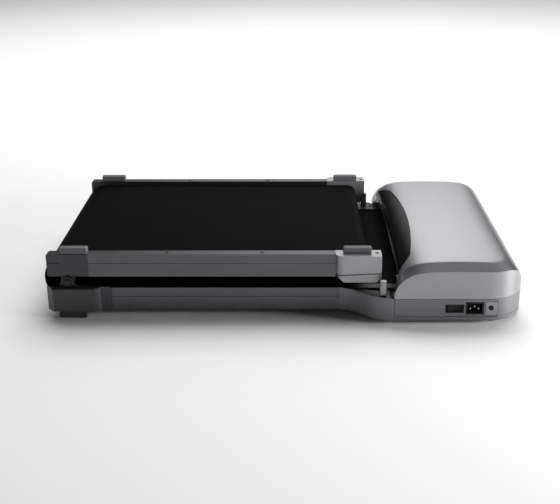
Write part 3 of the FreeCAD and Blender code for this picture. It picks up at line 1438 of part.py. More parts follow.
doc.recompute()
for item in doc.Objects:
    if "Invalid" in item.State or "Error" in item.State:
        raise RuntimeError("%s did not build: %s" % (item.Label, item.State))
os.makedirs("parts", exist_ok=True)
for item in NODES:
    if item.Shape.isNull() or not item.Shape.isValid() or not item.Shape.Solids:
        raise RuntimeError("%s has no valid solid" % item.Label)
for item in NODES:
    item.Shape.exportStep("parts/%s.step" % item.Label)
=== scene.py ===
import json
import math

import bmesh
import bpy
import numpy as np
from bpy.props import FloatProperty, FloatVectorProperty, IntProperty, PointerProperty
from mathutils import Matrix, Vector


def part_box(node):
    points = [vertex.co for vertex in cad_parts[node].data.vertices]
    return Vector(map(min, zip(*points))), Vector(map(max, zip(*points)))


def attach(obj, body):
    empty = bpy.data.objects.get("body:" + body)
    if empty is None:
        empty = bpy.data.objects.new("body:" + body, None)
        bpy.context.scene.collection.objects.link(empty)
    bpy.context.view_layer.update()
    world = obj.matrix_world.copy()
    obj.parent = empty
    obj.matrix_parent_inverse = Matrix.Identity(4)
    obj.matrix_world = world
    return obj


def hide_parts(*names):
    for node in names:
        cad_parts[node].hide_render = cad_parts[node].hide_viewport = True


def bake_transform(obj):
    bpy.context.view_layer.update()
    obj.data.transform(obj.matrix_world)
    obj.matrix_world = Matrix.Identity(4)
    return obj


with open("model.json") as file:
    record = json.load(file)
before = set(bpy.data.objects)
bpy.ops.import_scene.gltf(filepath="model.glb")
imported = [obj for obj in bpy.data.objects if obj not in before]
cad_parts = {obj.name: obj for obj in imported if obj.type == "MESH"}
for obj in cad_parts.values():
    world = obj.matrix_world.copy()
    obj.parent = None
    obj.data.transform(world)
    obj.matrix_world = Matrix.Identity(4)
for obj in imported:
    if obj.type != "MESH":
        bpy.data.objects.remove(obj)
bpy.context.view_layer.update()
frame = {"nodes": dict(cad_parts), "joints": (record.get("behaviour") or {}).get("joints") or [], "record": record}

bl_info = {
    "name": "Folding Walking Treadmill",
    "version": (1, 0, 0),
    "blender": (4, 5, 0),
    "location": "3D View > Sidebar > Treadmill",
    "description": "Finished surfaces of a slim walking treadmill that folds in half",
    "category": "Add Mesh",
}

# The front half lies on the floor and carries the motor hood at +X. The rear half lies upside
# down on it and turns over the hinge line at -X. Right is -Y and left is +Y.

MM = 0.001
BODY_OF = {node: body for body, nodes in frame["record"]["behaviour"]["bodies"].items()
           for node in nodes}
SLOT_OF = {part["node"]: part["material_slot"] for part in frame["record"]["subparts"]}
HINGE = [joint for joint in frame["joints"] if joint["name"] == "fold_hinge"][0]
FOLD_X, FOLD_Z = HINGE["pos_m"][0], HINGE["pos_m"][2]
COVER_LOW, COVER_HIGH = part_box("hood_cover")
# the belt goes in under the window through an opening this wide and this high
ENTRY_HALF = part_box("belt_outer_bend")[1].y + 22 * MM
ENTRY_TOP = 56 * MM


def linear(code):
    """A colour written as sRGB hex, as the linear values that shaders use."""
    channels = [int(code[place:place + 2], 16) / 255 for place in (1, 3, 5)]
    return tuple(value / 12.92 if value <= 0.04045 else ((value + 0.055) / 1.055) ** 2.4
                 for value in channels)


def colour_setting(name, code, description):
    """A colour that the user can change, with its default as sRGB hex."""
    return FloatVectorProperty(name=name, description=description, subtype="COLOR", size=3,
                               min=0, max=1, default=linear(code))


def length_setting(name, millimetres, description):
    """A length that the user can change, with its default in millimetres."""
    return FloatProperty(name=name, description=description, unit="LENGTH", min=0,
                         default=millimetres * MM)


# ---- settings ----

class TreadmillColours(bpy.types.PropertyGroup):
    """Colours of the finishes."""
    rail: colour_setting("Rails", "#68696C", "Anodised aluminium of the side rails")
    casting: colour_setting("Tail castings", "#A2A3A5", "Silver paint of the tail caps and posts")
    dark_casting: colour_setting("Hinge castings", "#424345", "Grey paint at the hinge end")
    hood: colour_setting("Hood", "#949598", "Silver lacquer of the motor hood")
    base: colour_setting("Base", "#747577", "Grey lacquer of base, tray and transitions")
    window: colour_setting("Window", "#0A0A0B", "Smoked display window")
    belt: colour_setting("Belt", "#0D0D0E", "Walking belt")
    foot: colour_setting("Feet", "#6A6B6D", "Grey rubber of the feet that point up when folded")
    dark_rubber: colour_setting("Dark rubber", "#2C2D2E", "Rubber of wheels, pads and drive belt")
    # the top trim named here is painted shade: this black on the tops of the front rails and transition covers
    black_plastic: colour_setting("Black plastic", "#0F1011", "Connector housings and top trim")
    steel: colour_setting("Steel", "#B9BCBF", "Zinc plated shafts and screws")
    black_steel: colour_setting("Black steel", "#0B0C0D", "Powder coated frame and motor")
    board: colour_setting("Deck board", "#2E2622", "Edge and face of the laminated deck")
    circuit: colour_setting("Circuit board", "#1F5A33", "Solder mask")
    brass: colour_setting("Brass", "#C9A55B", "Bushes and contact pins")


class TreadmillEdges(bpy.types.PropertyGroup):
    """Radii of the edges that moulds and dies leave."""
    extrusion: length_setting("Extrusion", 0.8, "Long edges of the aluminium rails")
    casting: length_setting("Castings", 1.4, "Edges of the painted end castings")
    moulding: length_setting("Mouldings", 1.0, "Edges of the moulded base parts")
    fine: length_setting("Fine", 0.35, "Edges of connectors, screws and lids")
    rubber: length_setting("Rubber", 1.2, "Corners of the rubber feet")


class TreadmillHood(bpy.types.PropertyGroup):
    """Shape of the motor hood, the same as the frame's."""
    shoulder: length_setting("Shoulder height", 96, "Height of the edge between shoulder and side")
    shoulder_band: length_setting("Shoulder band", 30, "Width of the band round the top panel")
    corner: length_setting("Corner radius", 70, "Radius of the two front corners seen from above")
    crease_x: length_setting("Crease place", 198, "Where the display window's lower edge lies")
    crease_z: length_setting("Crease height", 85, "How high the display window's lower edge lies")
    window_reach: length_setting("Window reach", 236, "Where the window ends on the middle line")
    window_bow: length_setting("Window bow", 15, "How far the window's end bows")
    window_half: length_setting("Window half width", 190, "Where the window's end turns back")
    edge_round: length_setting("Edge radius", 1.6, "Rounding of the edge above the side faces")
    wall: length_setting("Wall", 2.3, "Thickness of the moulded cover")
    columns: IntProperty(name="Columns", description="Faces from left to right", min=24, default=72)


class TreadmillStage(bpy.types.PropertyGroup):
    """Floor, light and camera."""
    floor: colour_setting("Floor", "#F4F4F4", "Pale floor")
    lens: FloatProperty(name="Lens", description="Focal length", subtype="DISTANCE_CAMERA",
                        default=63.87)
    yaw: FloatProperty(name="Yaw", description="Turn away from the Y axis", subtype="ANGLE",
                       default=math.radians(-0.663))
    pitch: FloatProperty(name="Pitch", description="How far the camera looks down",
                         subtype="ANGLE", default=math.radians(21.076))
    roll: FloatProperty(name="Roll", description="Tilt of the camera", subtype="ANGLE",
                        default=math.radians(-0.28))
    eye: FloatVectorProperty(name="Eye", description="Place of the camera", subtype="XYZ",
                             unit="LENGTH", default=(0.014, -1.8011, 0.7266))


# ---- shader nodes ----

def add_node(tree, kind, settings=None, inputs=None):
    """Add one shader node, set its properties, and fill or link its inputs."""
    item = tree.nodes.new(kind)
    for name, value in (settings or {}).items():
        setattr(item, name, value)
    for name, value in (inputs or {}).items():
        if isinstance(value, bpy.types.NodeSocket):
            tree.links.new(value, item.inputs[name])
        else:
            item.inputs[name].default_value = value
    return item


def start_finish(name, colour, metallic, roughness, **more):
    """A new material with one principled shader, and the place in the piece that drives it."""
    material = bpy.data.materials.new(name)
    material.use_nodes = True
    tree = material.node_tree
    tree.nodes.clear()
    settings = {"Base Color": (*colour, 1), "Metallic": metallic, "Roughness": roughness}
    settings.update(more)
    shader = add_node(tree, "ShaderNodeBsdfPrincipled", inputs=settings)
    add_node(tree, "ShaderNodeOutputMaterial", inputs={"Surface": shader.outputs["BSDF"]})
    place = add_node(tree, "ShaderNodeTexCoord").outputs["Object"]
    return material, tree, shader, place


def shades(tree, factor, colour, darkest, lightest):
    """The colour, made darker or lighter by a pattern."""
    low = tuple(channel * darkest for channel in colour) + (1,)
    high = tuple(min(channel * lightest, 1) for channel in colour) + (1,)
    return add_node(tree, "ShaderNodeMix", {"data_type": "RGBA"},
                    {0: factor, 6: low, 7: high}).outputs[2]


def vary_roughness(tree, shader, pattern, low, high):
    """Let a pattern move the roughness between two values."""
    moved = add_node(tree, "ShaderNodeMapRange", None,
                     {"Value": pattern, "To Min": low, "To Max": high})
    tree.links.new(moved.outputs["Result"], shader.inputs["Roughness"])


def noise(tree, place, size, detail=2, stretch=(1, 1, 1)):
    """Cloudy pattern whose patches are about size metres across, longer along stretched axes."""
    scaled = add_node(tree, "ShaderNodeMapping", None,
                      {"Vector": place, "Scale": [1 / share for share in stretch]})
    return add_node(tree, "ShaderNodeTexNoise", None,
                    {"Vector": scaled.outputs["Vector"], "Scale": 1 / size, "Detail": detail,
                     "Roughness": 0.55}).outputs["Fac"]


def worn_edges(tree, colour_socket, edge_colour, amount):
    """Lighten the colour along rounded edges, as handling does."""
    straight = add_node(tree, "ShaderNodeNewGeometry").outputs["Normal"]
    reach = 1.5 * MM
    rounded = add_node(tree, "ShaderNodeBevel", {"samples": 4}, {"Radius": reach})
    alike = add_node(tree, "ShaderNodeVectorMath", {"operation": "DOT_PRODUCT"},
                     {0: straight, 1: rounded.outputs["Normal"]})
    share = add_node(tree, "ShaderNodeMapRange", {"clamp": True},
                     {"Value": alike.outputs["Value"], "From Min": 0.98, "From Max": 0.85,
                      "To Max": amount})
    return add_node(tree, "ShaderNodeMix", {"data_type": "RGBA"},
                    {0: share.outputs["Result"], 6: colour_socket, 7: (*edge_colour, 1)}).outputs[2]


def relief(tree, shader, height, depth, strength):
    """Raise the surface by a pattern, depth metres at most."""
    bump = add_node(tree, "ShaderNodeBump", None,
                    {"Height": height, "Distance": depth, "Strength": strength})
    tree.links.new(bump.outputs["Normal"], shader.inputs["Normal"])


# ---- finishes, each named for what it is made of and how ----

def anodised_aluminium(colours):
    # Extruded, then satin anodised: long faint draw lines and a soft sheen that follows them.
    material, tree, shader, place = start_finish("anodised_aluminium", colours.rail, 1.0, 0.4)
    lines = noise(tree, place, 1.1 * MM, 3, stretch=(140, 1, 1))
    clouds = noise(tree, place, 60 * MM, 2, stretch=(3, 1, 1))
    body = shades(tree, clouds, colours.rail, 0.92, 1.06)
    streaked = add_node(tree, "ShaderNodeMix", {"data_type": "RGBA", "blend_type": "MULTIPLY"},
                        {0: 0.5, 6: body, 7: shades(tree, lines, (0.9, 0.9, 0.9), 0.82, 1.1)})
    worn = worn_edges(tree, streaked.outputs[2], linear("#8A8B8D"), 0.4)
    tree.links.new(worn, shader.inputs["Base Color"])
    vary_roughness(tree, shader, lines, 0.34, 0.48)
    relief(tree, shader, lines, 0.03 * MM, 0.35)
    return material


def painted_casting(name, colour):
    # Die cast, then sprayed with silver paint: flakes that sparkle a little and a fine orange peel.
    material, tree, shader, place = start_finish(name, colour, 0.55, 0.42,
                                                 **{"Coat Weight": 0.15, "Coat Roughness": 0.3})
    # real flakes are near 0.1 mm; these are 0.9 mm so that they still show from two metres
    flakes = noise(tree, place, 0.9 * MM, 1)
    clouds = noise(tree, place, 35 * MM, 2)
    body = shades(tree, clouds, colour, 0.94, 1.05)
    sparkle = add_node(tree, "ShaderNodeMix", {"data_type": "RGBA", "blend_type": "OVERLAY"},
                       {0: 0.18, 6: body, 7: shades(tree, flakes, (0.5, 0.5, 0.5), 0.6, 1.4)})
    light = tuple(min(channel * 1.7, 1) for channel in colour)
    worn = worn_edges(tree, sparkle.outputs[2], light, 0.35)
    tree.links.new(worn, shader.inputs["Base Color"])
    vary_roughness(tree, shader, clouds, 0.37, 0.47)
    relief(tree, shader, noise(tree, place, 1.6 * MM, 1), 0.05 * MM, 0.3)
    return material


def silver_casting(colours):
    return painted_casting("painted_silver_casting", colours.casting)


def grey_casting(colours):
    return painted_casting("painted_grey_casting", colours.dark_casting)


def lacquered_abs(name, colour, metallic, roughness):
    # Moulded ABS sprayed with metallic lacquer: flakes under a smooth skin, soft wide highlights.
    material, tree, shader, place = start_finish(name, colour, metallic, roughness,
                                                 **{"Coat Weight": 0.2, "Coat Roughness": 0.22})
    # real flakes are near 0.05 mm; these are 0.7 mm so that they still show from two metres
    flakes = noise(tree, place, 0.7 * MM, 1)
    clouds = noise(tree, place, 110 * MM, 2)
    body = shades(tree, clouds, colour, 0.95, 1.04)
    sparkle = add_node(tree, "ShaderNodeMix", {"data_type": "RGBA", "blend_type": "OVERLAY"},
                       {0: 0.14, 6: body, 7: shades(tree, flakes, (0.5, 0.5, 0.5), 0.6, 1.4)})
    tree.links.new(sparkle.outputs[2], shader.inputs["Base Color"])
    vary_roughness(tree, shader, flakes, roughness - 0.04, roughness + 0.05)
    relief(tree, shader, noise(tree, place, 2.4 * MM, 1), 0.04 * MM, 0.22)
    return material


def silver_lacquer(colours):
    return lacquered_abs("lacquered_abs_silver", colours.hood, 0.85, 0.33)


def grey_lacquer(colours):
    return lacquered_abs("lacquered_abs_grey", colours.base, 0.7, 0.42)


def smoked_acrylic(colours):
    # Cast acrylic, smoked nearly black and polished: sharp reflections and a faint dust haze.
    material, tree, shader, place = start_finish("smoked_acrylic", colours.window, 0.0, 0.12,
                                                 **{"IOR": 1.49, "Specular IOR Level": 0.03})
    haze = noise(tree, place, 28 * MM, 4)
    tree.links.new(shades(tree, haze, colours.window, 0.8, 2.2), shader.inputs["Base Color"])
    vary_roughness(tree, shader, haze, 0.09, 0.2)
    return material


def pressed_pvc_belt(colours):
    # PVC belt with a pressed diamond grain: matt black ribs that break up the sheen.
    material, tree, shader, place = start_finish("pressed_pvc_belt", colours.belt, 0.0, 0.8,
                                                 **{"IOR": 1.52, "Specular IOR Level": 0.04})
    # the real diamonds are 1.5 mm across; they are drawn 3 mm across so that they show
    diamond = 3 * MM
    slant = math.radians(32)
    ribs = []
    for turn in (slant, -slant):
        turned = add_node(tree, "ShaderNodeMapping", None,
                          {"Vector": place, "Rotation": (0, 0, turn)})
        ribs.append(add_node(tree, "ShaderNodeTexWave", {"bands_direction": "Y"},
                             {"Vector": turned.outputs["Vector"],
                              "Scale": 1 / diamond / math.tau * 2}).outputs["Fac"])
    grain = add_node(tree, "ShaderNodeMath", {"operation": "MAXIMUM"}, {0: ribs[0], 1: ribs[1]})
    wear = noise(tree, place, 90 * MM, 3, stretch=(4, 1, 1))
    body = shades(tree, wear, colours.belt, 0.85, 1.2)
    tinted = add_node(tree, "ShaderNodeMix", {"data_type": "RGBA", "blend_type": "MULTIPLY"},
                      {0: 0.35, 6: body,
                       7: shades(tree, grain.outputs["Value"], (0.8, 0.8, 0.8), 0.5, 1.25)})
    tree.links.new(tinted.outputs[2], shader.inputs["Base Color"])
    vary_roughness(tree, shader, wear, 0.72, 0.86)
    relief(tree, shader, grain.outputs["Value"], 0.25 * MM, 0.5)
    return material


def moulded_rubber(name, colour):
    # Compression moulded rubber: dull, with a spark eroded grain and a trace of bloom.
    material, tree, shader, place = start_finish(name, colour, 0.0, 0.66, **{"IOR": 1.52})
    bloom = noise(tree, place, 14 * MM, 4)
    grain = noise(tree, place, 0.8 * MM, 2)
    light = tuple(min(channel * 1.5, 1) for channel in colour)
    worn = worn_edges(tree, shades(tree, bloom, colour, 0.88, 1.12), light, 0.4)
    tree.links.new(worn, shader.inputs["Base Color"])
    vary_roughness(tree, shader, bloom, 0.58, 0.76)
    relief(tree, shader, grain, 0.12 * MM, 0.35)
    return material


def grey_rubber(colours):
    return moulded_rubber("moulded_rubber_grey", colours.foot)


def dark_rubber(colours):
    return moulded_rubber("moulded_rubber_dark", colours.dark_rubber)


def black_abs_and_painted_shade(colours):
    # Black ABS from an etched mould: a fine grain that greys the highlights. The same material is also painted
    # shade on the tops of the front rails and transition covers.
    material, tree, shader, place = start_finish("black_abs_with_painted_shade", colours.black_plastic, 0.0,
                                                 0.46, **{"IOR": 1.54,
                                                          "Specular IOR Level": 0.25})
    grain = noise(tree, place, 0.7 * MM, 2)
    haze = noise(tree, place, 20 * MM, 3)
    tree.links.new(shades(tree, haze, colours.black_plastic, 0.8, 1.3),
                   shader.inputs["Base Color"])
    vary_roughness(tree, shader, grain, 0.4, 0.54)
    relief(tree, shader, grain, 0.06 * MM, 0.35)
    return material


def zinc_plated_steel(colours):
    # Turned steel with bright zinc plating: rings from the lathe and slightly bluish clouds.
    material, tree, shader, place = start_finish("zinc_plated_steel", colours.steel, 1.0, 0.3)
    clouds = noise(tree, place, 7 * MM, 4)
    rings = noise(tree, place, 0.9 * MM, 2, stretch=(8, 1, 8))
    tree.links.new(shades(tree, clouds, colours.steel, 0.82, 1.06), shader.inputs["Base Color"])
    vary_roughness(tree, shader, clouds, 0.24, 0.42)
    relief(tree, shader, rings, 0.02 * MM, 0.3)
    return material


def powder_coated_steel(colours):
    # Welded steel with black powder coat: an even orange peel and rounded dull highlights.
    material, tree, shader, place = start_finish("powder_coated_steel", colours.black_steel, 0.0,
                                                 0.45, **{"IOR": 1.5})
    peel = noise(tree, place, 1.3 * MM, 1)
    clouds = noise(tree, place, 30 * MM, 3)
    tree.links.new(shades(tree, clouds, colours.black_steel, 0.8, 1.35),
                   shader.inputs["Base Color"])
    vary_roughness(tree, shader, peel, 0.38, 0.52)
    relief(tree, shader, peel, 0.08 * MM, 0.4)
    return material


def laminated_board(colours):
    # Pressed fibre board faced with phenolic film: flecked brown core with faint layers.
    material, tree, shader, place = start_finish("laminated_board", colours.board, 0.0, 0.5,
                                                 **{"IOR": 1.5})
    fibres = noise(tree, place, 1.5 * MM, 4, stretch=(6, 2, 0.4))
    tree.links.new(shades(tree, fibres, colours.board, 0.6, 1.35), shader.inputs["Base Color"])
    vary_roughness(tree, shader, fibres, 0.42, 0.6)
    relief(tree, shader, fibres, 0.05 * MM, 0.3)
    return material


def solder_mask(colours):
    # Glass fibre board under green mask: a fine weave below a glossy skin.
    material, tree, shader, place = start_finish("solder_masked_board", colours.circuit, 0.0, 0.3,
                                                 **{"IOR": 1.52})
    thread = 1.2 * MM
    weave = add_node(tree, "ShaderNodeTexChecker", None,
                     {"Vector": place, "Scale": 1 / thread, "Color1": (0.4, 0.4, 0.4, 1),
                      "Color2": (0.6, 0.6, 0.6, 1)})
    tree.links.new(shades(tree, weave.outputs["Fac"], colours.circuit, 0.85, 1.15),
                   shader.inputs["Base Color"])
    relief(tree, shader, weave.outputs["Fac"], 0.02 * MM, 0.3)
    return material


def turned_brass(colours):
    # Turned brass: warm metal with dull patches of tarnish.
    material, tree, shader, place = start_finish("turned_brass", colours.brass, 1.0, 0.28)
    tarnish = noise(tree, place, 3 * MM, 4)
    tree.links.new(shades(tree, tarnish, colours.brass, 0.65, 1.05), shader.inputs["Base Color"])
    vary_roughness(tree, shader, tarnish, 0.2, 0.42)
    return material


FINISH_OF_SLOT = {
    "rail_metal": anodised_aluminium, "cap_paint": silver_casting, "hood_plastic": silver_lacquer,
    "base_plastic": grey_lacquer, "window_plastic": smoked_acrylic, "black_plastic": black_abs_and_painted_shade,
    "belt_rubber": pressed_pvc_belt, "foot_rubber": grey_rubber, "black_rubber": dark_rubber,
    "steel": zinc_plated_steel, "black_steel": powder_coated_steel, "deck_wood": laminated_board,
    "circuit_board": solder_mask, "brass": turned_brass,
}
FINISH_OF_NODE = {
    "rear_hinge_cap_left": grey_casting, "rear_hinge_cap_right": grey_casting,
    "corner_cover_left": grey_casting, "corner_cover_right": grey_casting,
    "rear_screws": powder_coated_steel, "hinge_pins": powder_coated_steel,
    "inlet_pins": zinc_plated_steel,
    "bottom_tray": grey_lacquer, "socket_panel": grey_lacquer, "reset_breaker": silver_lacquer,
}


def finish_called(maker):
    """The material that a function makes, made the first time that it is asked for."""
    made = bpy.context.scene.get("treadmill_finishes", {})
    if maker.__name__ not in made:
        material = maker(bpy.context.scene.treadmill_colours)
        names = dict(made)
        names[maker.__name__] = material.name
        bpy.context.scene["treadmill_finishes"] = names
        return material
    return bpy.data.materials[made[maker.__name__]]


def finish_for(node):
    """The material of a sub-part."""
    return finish_called(FINISH_OF_NODE.get(node, FINISH_OF_SLOT[SLOT_OF[node]]))


# ---- mesh helpers ----

WELD = 0.002 * MM
FLAT = math.radians(0.6)
SHARP = math.radians(30)
BISECTIONS = 24


def add_piece(name, mesh, node):
    """Link a mesh as a piece that stands for a CAD node, with its finish on, and hide the node."""
    mesh.materials.clear()
    mesh.materials.append(finish_for(node))
    piece = bpy.data.objects.new(name, mesh)
    bpy.context.scene.collection.objects.link(piece)
    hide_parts(node)
    return piece


def smooth(mesh):
    """Shade a mesh smoothly, with creases where faces meet at more than the sharp angle."""
    for face in mesh.polygons:
        face.use_smooth = True
    mesh.set_sharp_from_angle(angle=SHARP)


def add_bevel(piece, radius, steps=3, angle=SHARP):
    """Round the edges of a piece that are sharper than an angle."""
    bevel = piece.modifiers.new("rounded_edges", "BEVEL")
    bevel.width = radius
    bevel.segments = steps
    bevel.limit_method = "ANGLE"
    bevel.angle_limit = angle
    bevel.harden_normals = True
    bevel.use_clamp_overlap = True


def refined(node, radius, steps=3):
    """A CAD piece with its flat faces joined up, its edges rounded and its finish on."""
    mesh = frame["nodes"][node].data.copy()
    for layer in ("custom_normal", "sharp_edge", "sharp_face"):
        if layer in mesh.attributes:
            mesh.attributes.remove(mesh.attributes[layer])
    form = bmesh.new()
    form.from_mesh(mesh)
    bmesh.ops.remove_doubles(form, verts=form.verts, dist=WELD)
    bmesh.ops.dissolve_limit(form, angle_limit=FLAT, verts=form.verts, edges=form.edges)
    form.to_mesh(mesh)
    form.free()
    for face in mesh.polygons:
        face.use_smooth = True
    piece = add_piece(node + "_finished", mesh, node)
    add_bevel(piece, radius, steps)
    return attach(piece, BODY_OF[node])


def paint_shade_on_tops(piece):
    """Paint the faces that look up black, as painted shade for the shadow that the folded halves cast on these
    tops.
    """
    piece.data.materials.append(finish_called(black_abs_and_painted_shade))
    looks_up = 0.5
    for face in piece.data.polygons:
        if face.normal.z > looks_up:
            face.material_index = 1


def grid_mesh(name, rows):
    """A mesh from rows of points, with faces between neighbours."""
    form = bmesh.new()
    points = [[form.verts.new(place) for place in row] for row in rows]
    for near, far in zip(points, points[1:]):
        for place in range(len(near) - 1):
            corners = [near[place], near[place + 1], far[place + 1], far[place]]
            form.faces.new(corners)
    bmesh.ops.remove_doubles(form, verts=form.verts, dist=0.01 * MM)
    mesh = bpy.data.meshes.new(name)
    form.to_mesh(mesh)
    form.free()
    return mesh


# ---- the hood ----

def curve_through(knots, values, places):
    """A natural cubic curve through values at the knots, read at many places."""
    gaps = np.diff(knots)
    slopes = np.diff(values, axis=0) / gaps[:, None]
    count = len(knots)
    system = np.eye(count)
    turns = np.zeros_like(values)
    for inner in range(1, count - 1):
        system[inner, inner - 1:inner + 2] = (gaps[inner - 1], 2 * (gaps[inner - 1] + gaps[inner]),
                                              gaps[inner])
        turns[inner] = 6 * (slopes[inner] - slopes[inner - 1])
    bends = np.linalg.solve(system, turns)
    span = np.clip(np.searchsorted(knots, places) - 1, 0, count - 2)
    wide = gaps[span][:, None]
    before = (knots[span + 1] - places)[:, None] / wide
    after = 1 - before
    return (before * values[span] + after * values[span + 1]
            + ((before ** 3 - before) * bends[span] + (after ** 3 - after) * bends[span + 1])
            * wide ** 2 / 6)


class HoodShape:
    """The hood's outer form: a section that changes from the middle to the sides."""

    def __init__(self, sizes):
        self.sizes = sizes
        self.left, self.right = COVER_LOW.x, COVER_HIGH.x
        self.half, self.low = COVER_HIGH.y, COVER_LOW.z
        left, right, low = self.left / MM, self.right / MM, self.low / MM
        crown, edge = COVER_HIGH.z / MM, sizes.shoulder / MM
        # knots of both sections in mm, from the left edge over the top to the front's foot
        middle = np.array([
            (sizes.crease_x / MM, sizes.crease_z / MM), (left + 15, crown - 14),
            (left + 27, crown - 7.5), (left + 43, crown - 3.2), (left + 70, crown - 0.8),
            (left + 110, crown), (right - 76, crown - 0.8), (right - 50, crown - 2.5),
            (right - 31, crown - 6.5), (right - 17, crown - 14), (right - 7, crown - 31),
            (right - 2, low + 14), (right, low)])
        side = np.array([
            (left, low + 10), (left + 5, edge - 27), (left + 12, edge - 18.5),
            (left + 24, edge - 9.5), (left + 46, edge - 2.5), (left + 82, edge),
            (right - 76, edge - 0.3), (right - 50, edge - 1), (right - 31, edge - 2),
            (right - 17, edge - 7), (right - 7, edge - 20), (right - 2, low + 12), (right, low)])
        mean = (middle + side) / 2
        steps = np.hypot(*np.diff(mean, axis=0).T)
        knots = np.append(0, np.cumsum(steps))
        knots /= knots[-1]
        self.places = np.linspace(0, 1, 601)
        self.middle = curve_through(knots, middle * MM, self.places)
        self.side = curve_through(knots, side * MM, self.places)

    def width(self, x):
        """Half width of the footprint at a place along the hood."""
        corner = self.sizes.corner
        past = x - (self.right - corner)
        if past <= 0:
            return self.half
        return self.half - corner + math.sqrt(max(corner ** 2 - past ** 2, 0))

    def inside(self, x, y):
        """How far a place lies inside the footprint's outline."""
        corner = self.sizes.corner
        past_x, past_y = x - (self.right - corner), abs(y) - (self.half - corner)
        if past_x > 0 and past_y > 0:
            return corner - math.hypot(past_x, past_y)
        return min(self.half - abs(y), self.right - x)

    def share(self, x, y):
        """How much of the side's shape the section has: 0 in the middle, 1 at the outline."""
        band = self.sizes.shoulder_band
        across = min(abs(y) / (self.half - band), 1)
        # the top panel takes up a third of the change, and the shoulder band the rest
        panel = 0.33 * across ** 1.9
        depth = min(max((band - self.inside(x, y)) / band, 0), 1)
        soft = 0.16
        eased = depth - soft / 2 if depth > soft else depth ** 2 / (2 * soft)
        return panel + (1 - panel) * eased / (1 - soft / 2)

    def at(self, along, y):
        """Point of the outer surface: along runs from 0 at the left edge to 1 at the front."""
        spot = along * (len(self.places) - 1)
        first = min(int(spot), len(self.places) - 2)
        rest = spot - first
        middle = self.middle[first] * (1 - rest) + self.middle[first + 1] * rest
        side = self.side[first] * (1 - rest) + self.side[first + 1] * rest
        x = side[0]
        for _ in range(3):
            share = self.share(x, y)
            x, z = middle + (side - middle) * share
        return float(x), float(z)

    def front_end(self, y):
        """Where along the section the front face reaches the parting line."""
        low, high = 0.7, 1.0
        for _ in range(BISECTIONS):
            trial = (low + high) / 2
            if self.at(trial, y)[1] > self.low:
                low = trial
            else:
                high = trial
        return low

    def window_edge(self, y):
        """How far the display window reaches at a distance from the middle line."""
        sizes = self.sizes
        if abs(y) <= sizes.window_half:
            bow = sizes.window_bow
            radius = (sizes.window_half ** 2 + bow ** 2) / (2 * bow)
            return sizes.window_reach - radius + math.sqrt(radius ** 2 - y ** 2)
        # beyond the bow the edge runs straight back to the hood's left side
        slant_wide, slant_long = 53 * MM, 34 * MM
        slant = (abs(y) - sizes.window_half) / slant_wide
        return sizes.window_reach - sizes.window_bow - slant * slant_long

    def along_at(self, x, y):
        """The inverse of at, for a place in the hood's left part."""
        low, high = 0.0, 0.6
        if self.at(0, y)[0] >= x:
            return 0.0
        for _ in range(BISECTIONS):
            trial = (low + high) / 2
            if self.at(trial, y)[0] < x:
                low = trial
            else:
                high = trial
        return low

    def foot(self, y):
        """Where the left face meets the level of the parting line."""
        lean = 14 * MM
        return self.left + lean * (1 - self.share(self.left, y))


def hood_rows(shape):
    """Distances from the middle line as shares of the half width, closer at the shoulders."""
    panel = (shape.half - shape.sizes.shoulder_band) / shape.half
    across = 15
    half = [panel * step / across for step in range(across + 1)]
    band = (0.5, 1, 1.5, 2, 3, 4.5, 6, 8, 10, 11.2, 12)
    half += [panel + (1 - panel) * step / band[-1] for step in band]
    entry = ENTRY_HALF / shape.half
    half[min(range(len(half)), key=lambda place: abs(half[place] - entry))] = entry
    return [-share for share in reversed(half[1:])] + half


def cover_point(shape, along, row):
    """Point of the cover on a row, which keeps its share of the width round the corners."""
    y = row * shape.half
    for _ in range(12):
        x, z = shape.at(along, y)
        y = row * shape.width(x)
    return x, y, z


def left_face(shape, y, top, levels):
    """Points of the face under the hood's left edge, at the given heights."""
    x, z = top
    foot = shape.foot(y)
    return [Vector((foot + (x - foot) * (level - shape.low) / (z - shape.low), y, level))
            for level in levels]


def hood_cover(shape):
    """The cover without the window: top, shoulders, side faces and the strips beside the entry."""
    count = shape.sizes.columns
    seam = 0.5 * MM
    pane_gap = 0.0008  # as a share of the section
    rows = []
    for row in hood_rows(shape):
        y = row * shape.half
        start = shape.along_at(shape.window_edge(y), y)
        if start > 0:
            start += pane_gap
        end = shape.front_end(row * shape.width(shape.right - MM))
        spots = [start + (end - start) * (step / count) for step in range(count + 1)]
        points = [Vector(cover_point(shape, spot, row)) for spot in spots]
        points[-1].z = shape.low + seam
        rows.append(points)
    form = grid_mesh("hood_top", rows)
    # side walls hang from the outline down to the parting line
    depth = 9
    walls = []
    for edge_row in (rows[0], rows[-1]):
        strip = []
        for step in range(depth + 1):
            share = step / depth
            line = []
            for place in edge_row:
                low = shape.low + seam
                line.append(Vector((place.x, place.y, place.z + (low - place.z) * share)))
            strip.append(line)
        walls.append(grid_mesh("hood_wall", strip))
    # strips of the left face beside the belt entry
    for side in (-1, 1):
        strip = []
        for row in hood_rows(shape):
            y = row * shape.half
            if y * side < ENTRY_HALF - MM:
                continue
            top = shape.at(0, y)
            low = shape.low + seam
            levels = [low + (top[1] - low) * step / depth for step in range(depth + 1)]
            strip.append(left_face(shape, y, top, levels))
        walls.append(grid_mesh("hood_end", strip))
    return joined("hood_cover_shell", [form] + walls)


def joined(name, meshes):
    """One welded mesh from several, with its faces all turned outwards."""
    form = bmesh.new()
    for mesh in meshes:
        form.from_mesh(mesh)
        bpy.data.meshes.remove(mesh)
    bmesh.ops.remove_doubles(form, verts=form.verts, dist=0.02 * MM)
    bmesh.ops.dissolve_degenerate(form, edges=form.edges, dist=0.01 * MM)
    bmesh.ops.recalc_face_normals(form, faces=form.faces)
    highest = max(form.faces, key=lambda face: face.calc_center_median().z)
    if highest.normal.z < 0:
        bmesh.ops.reverse_faces(form, faces=form.faces)
    mesh = bpy.data.meshes.new(name)
    form.to_mesh(mesh)
    form.free()
    return mesh


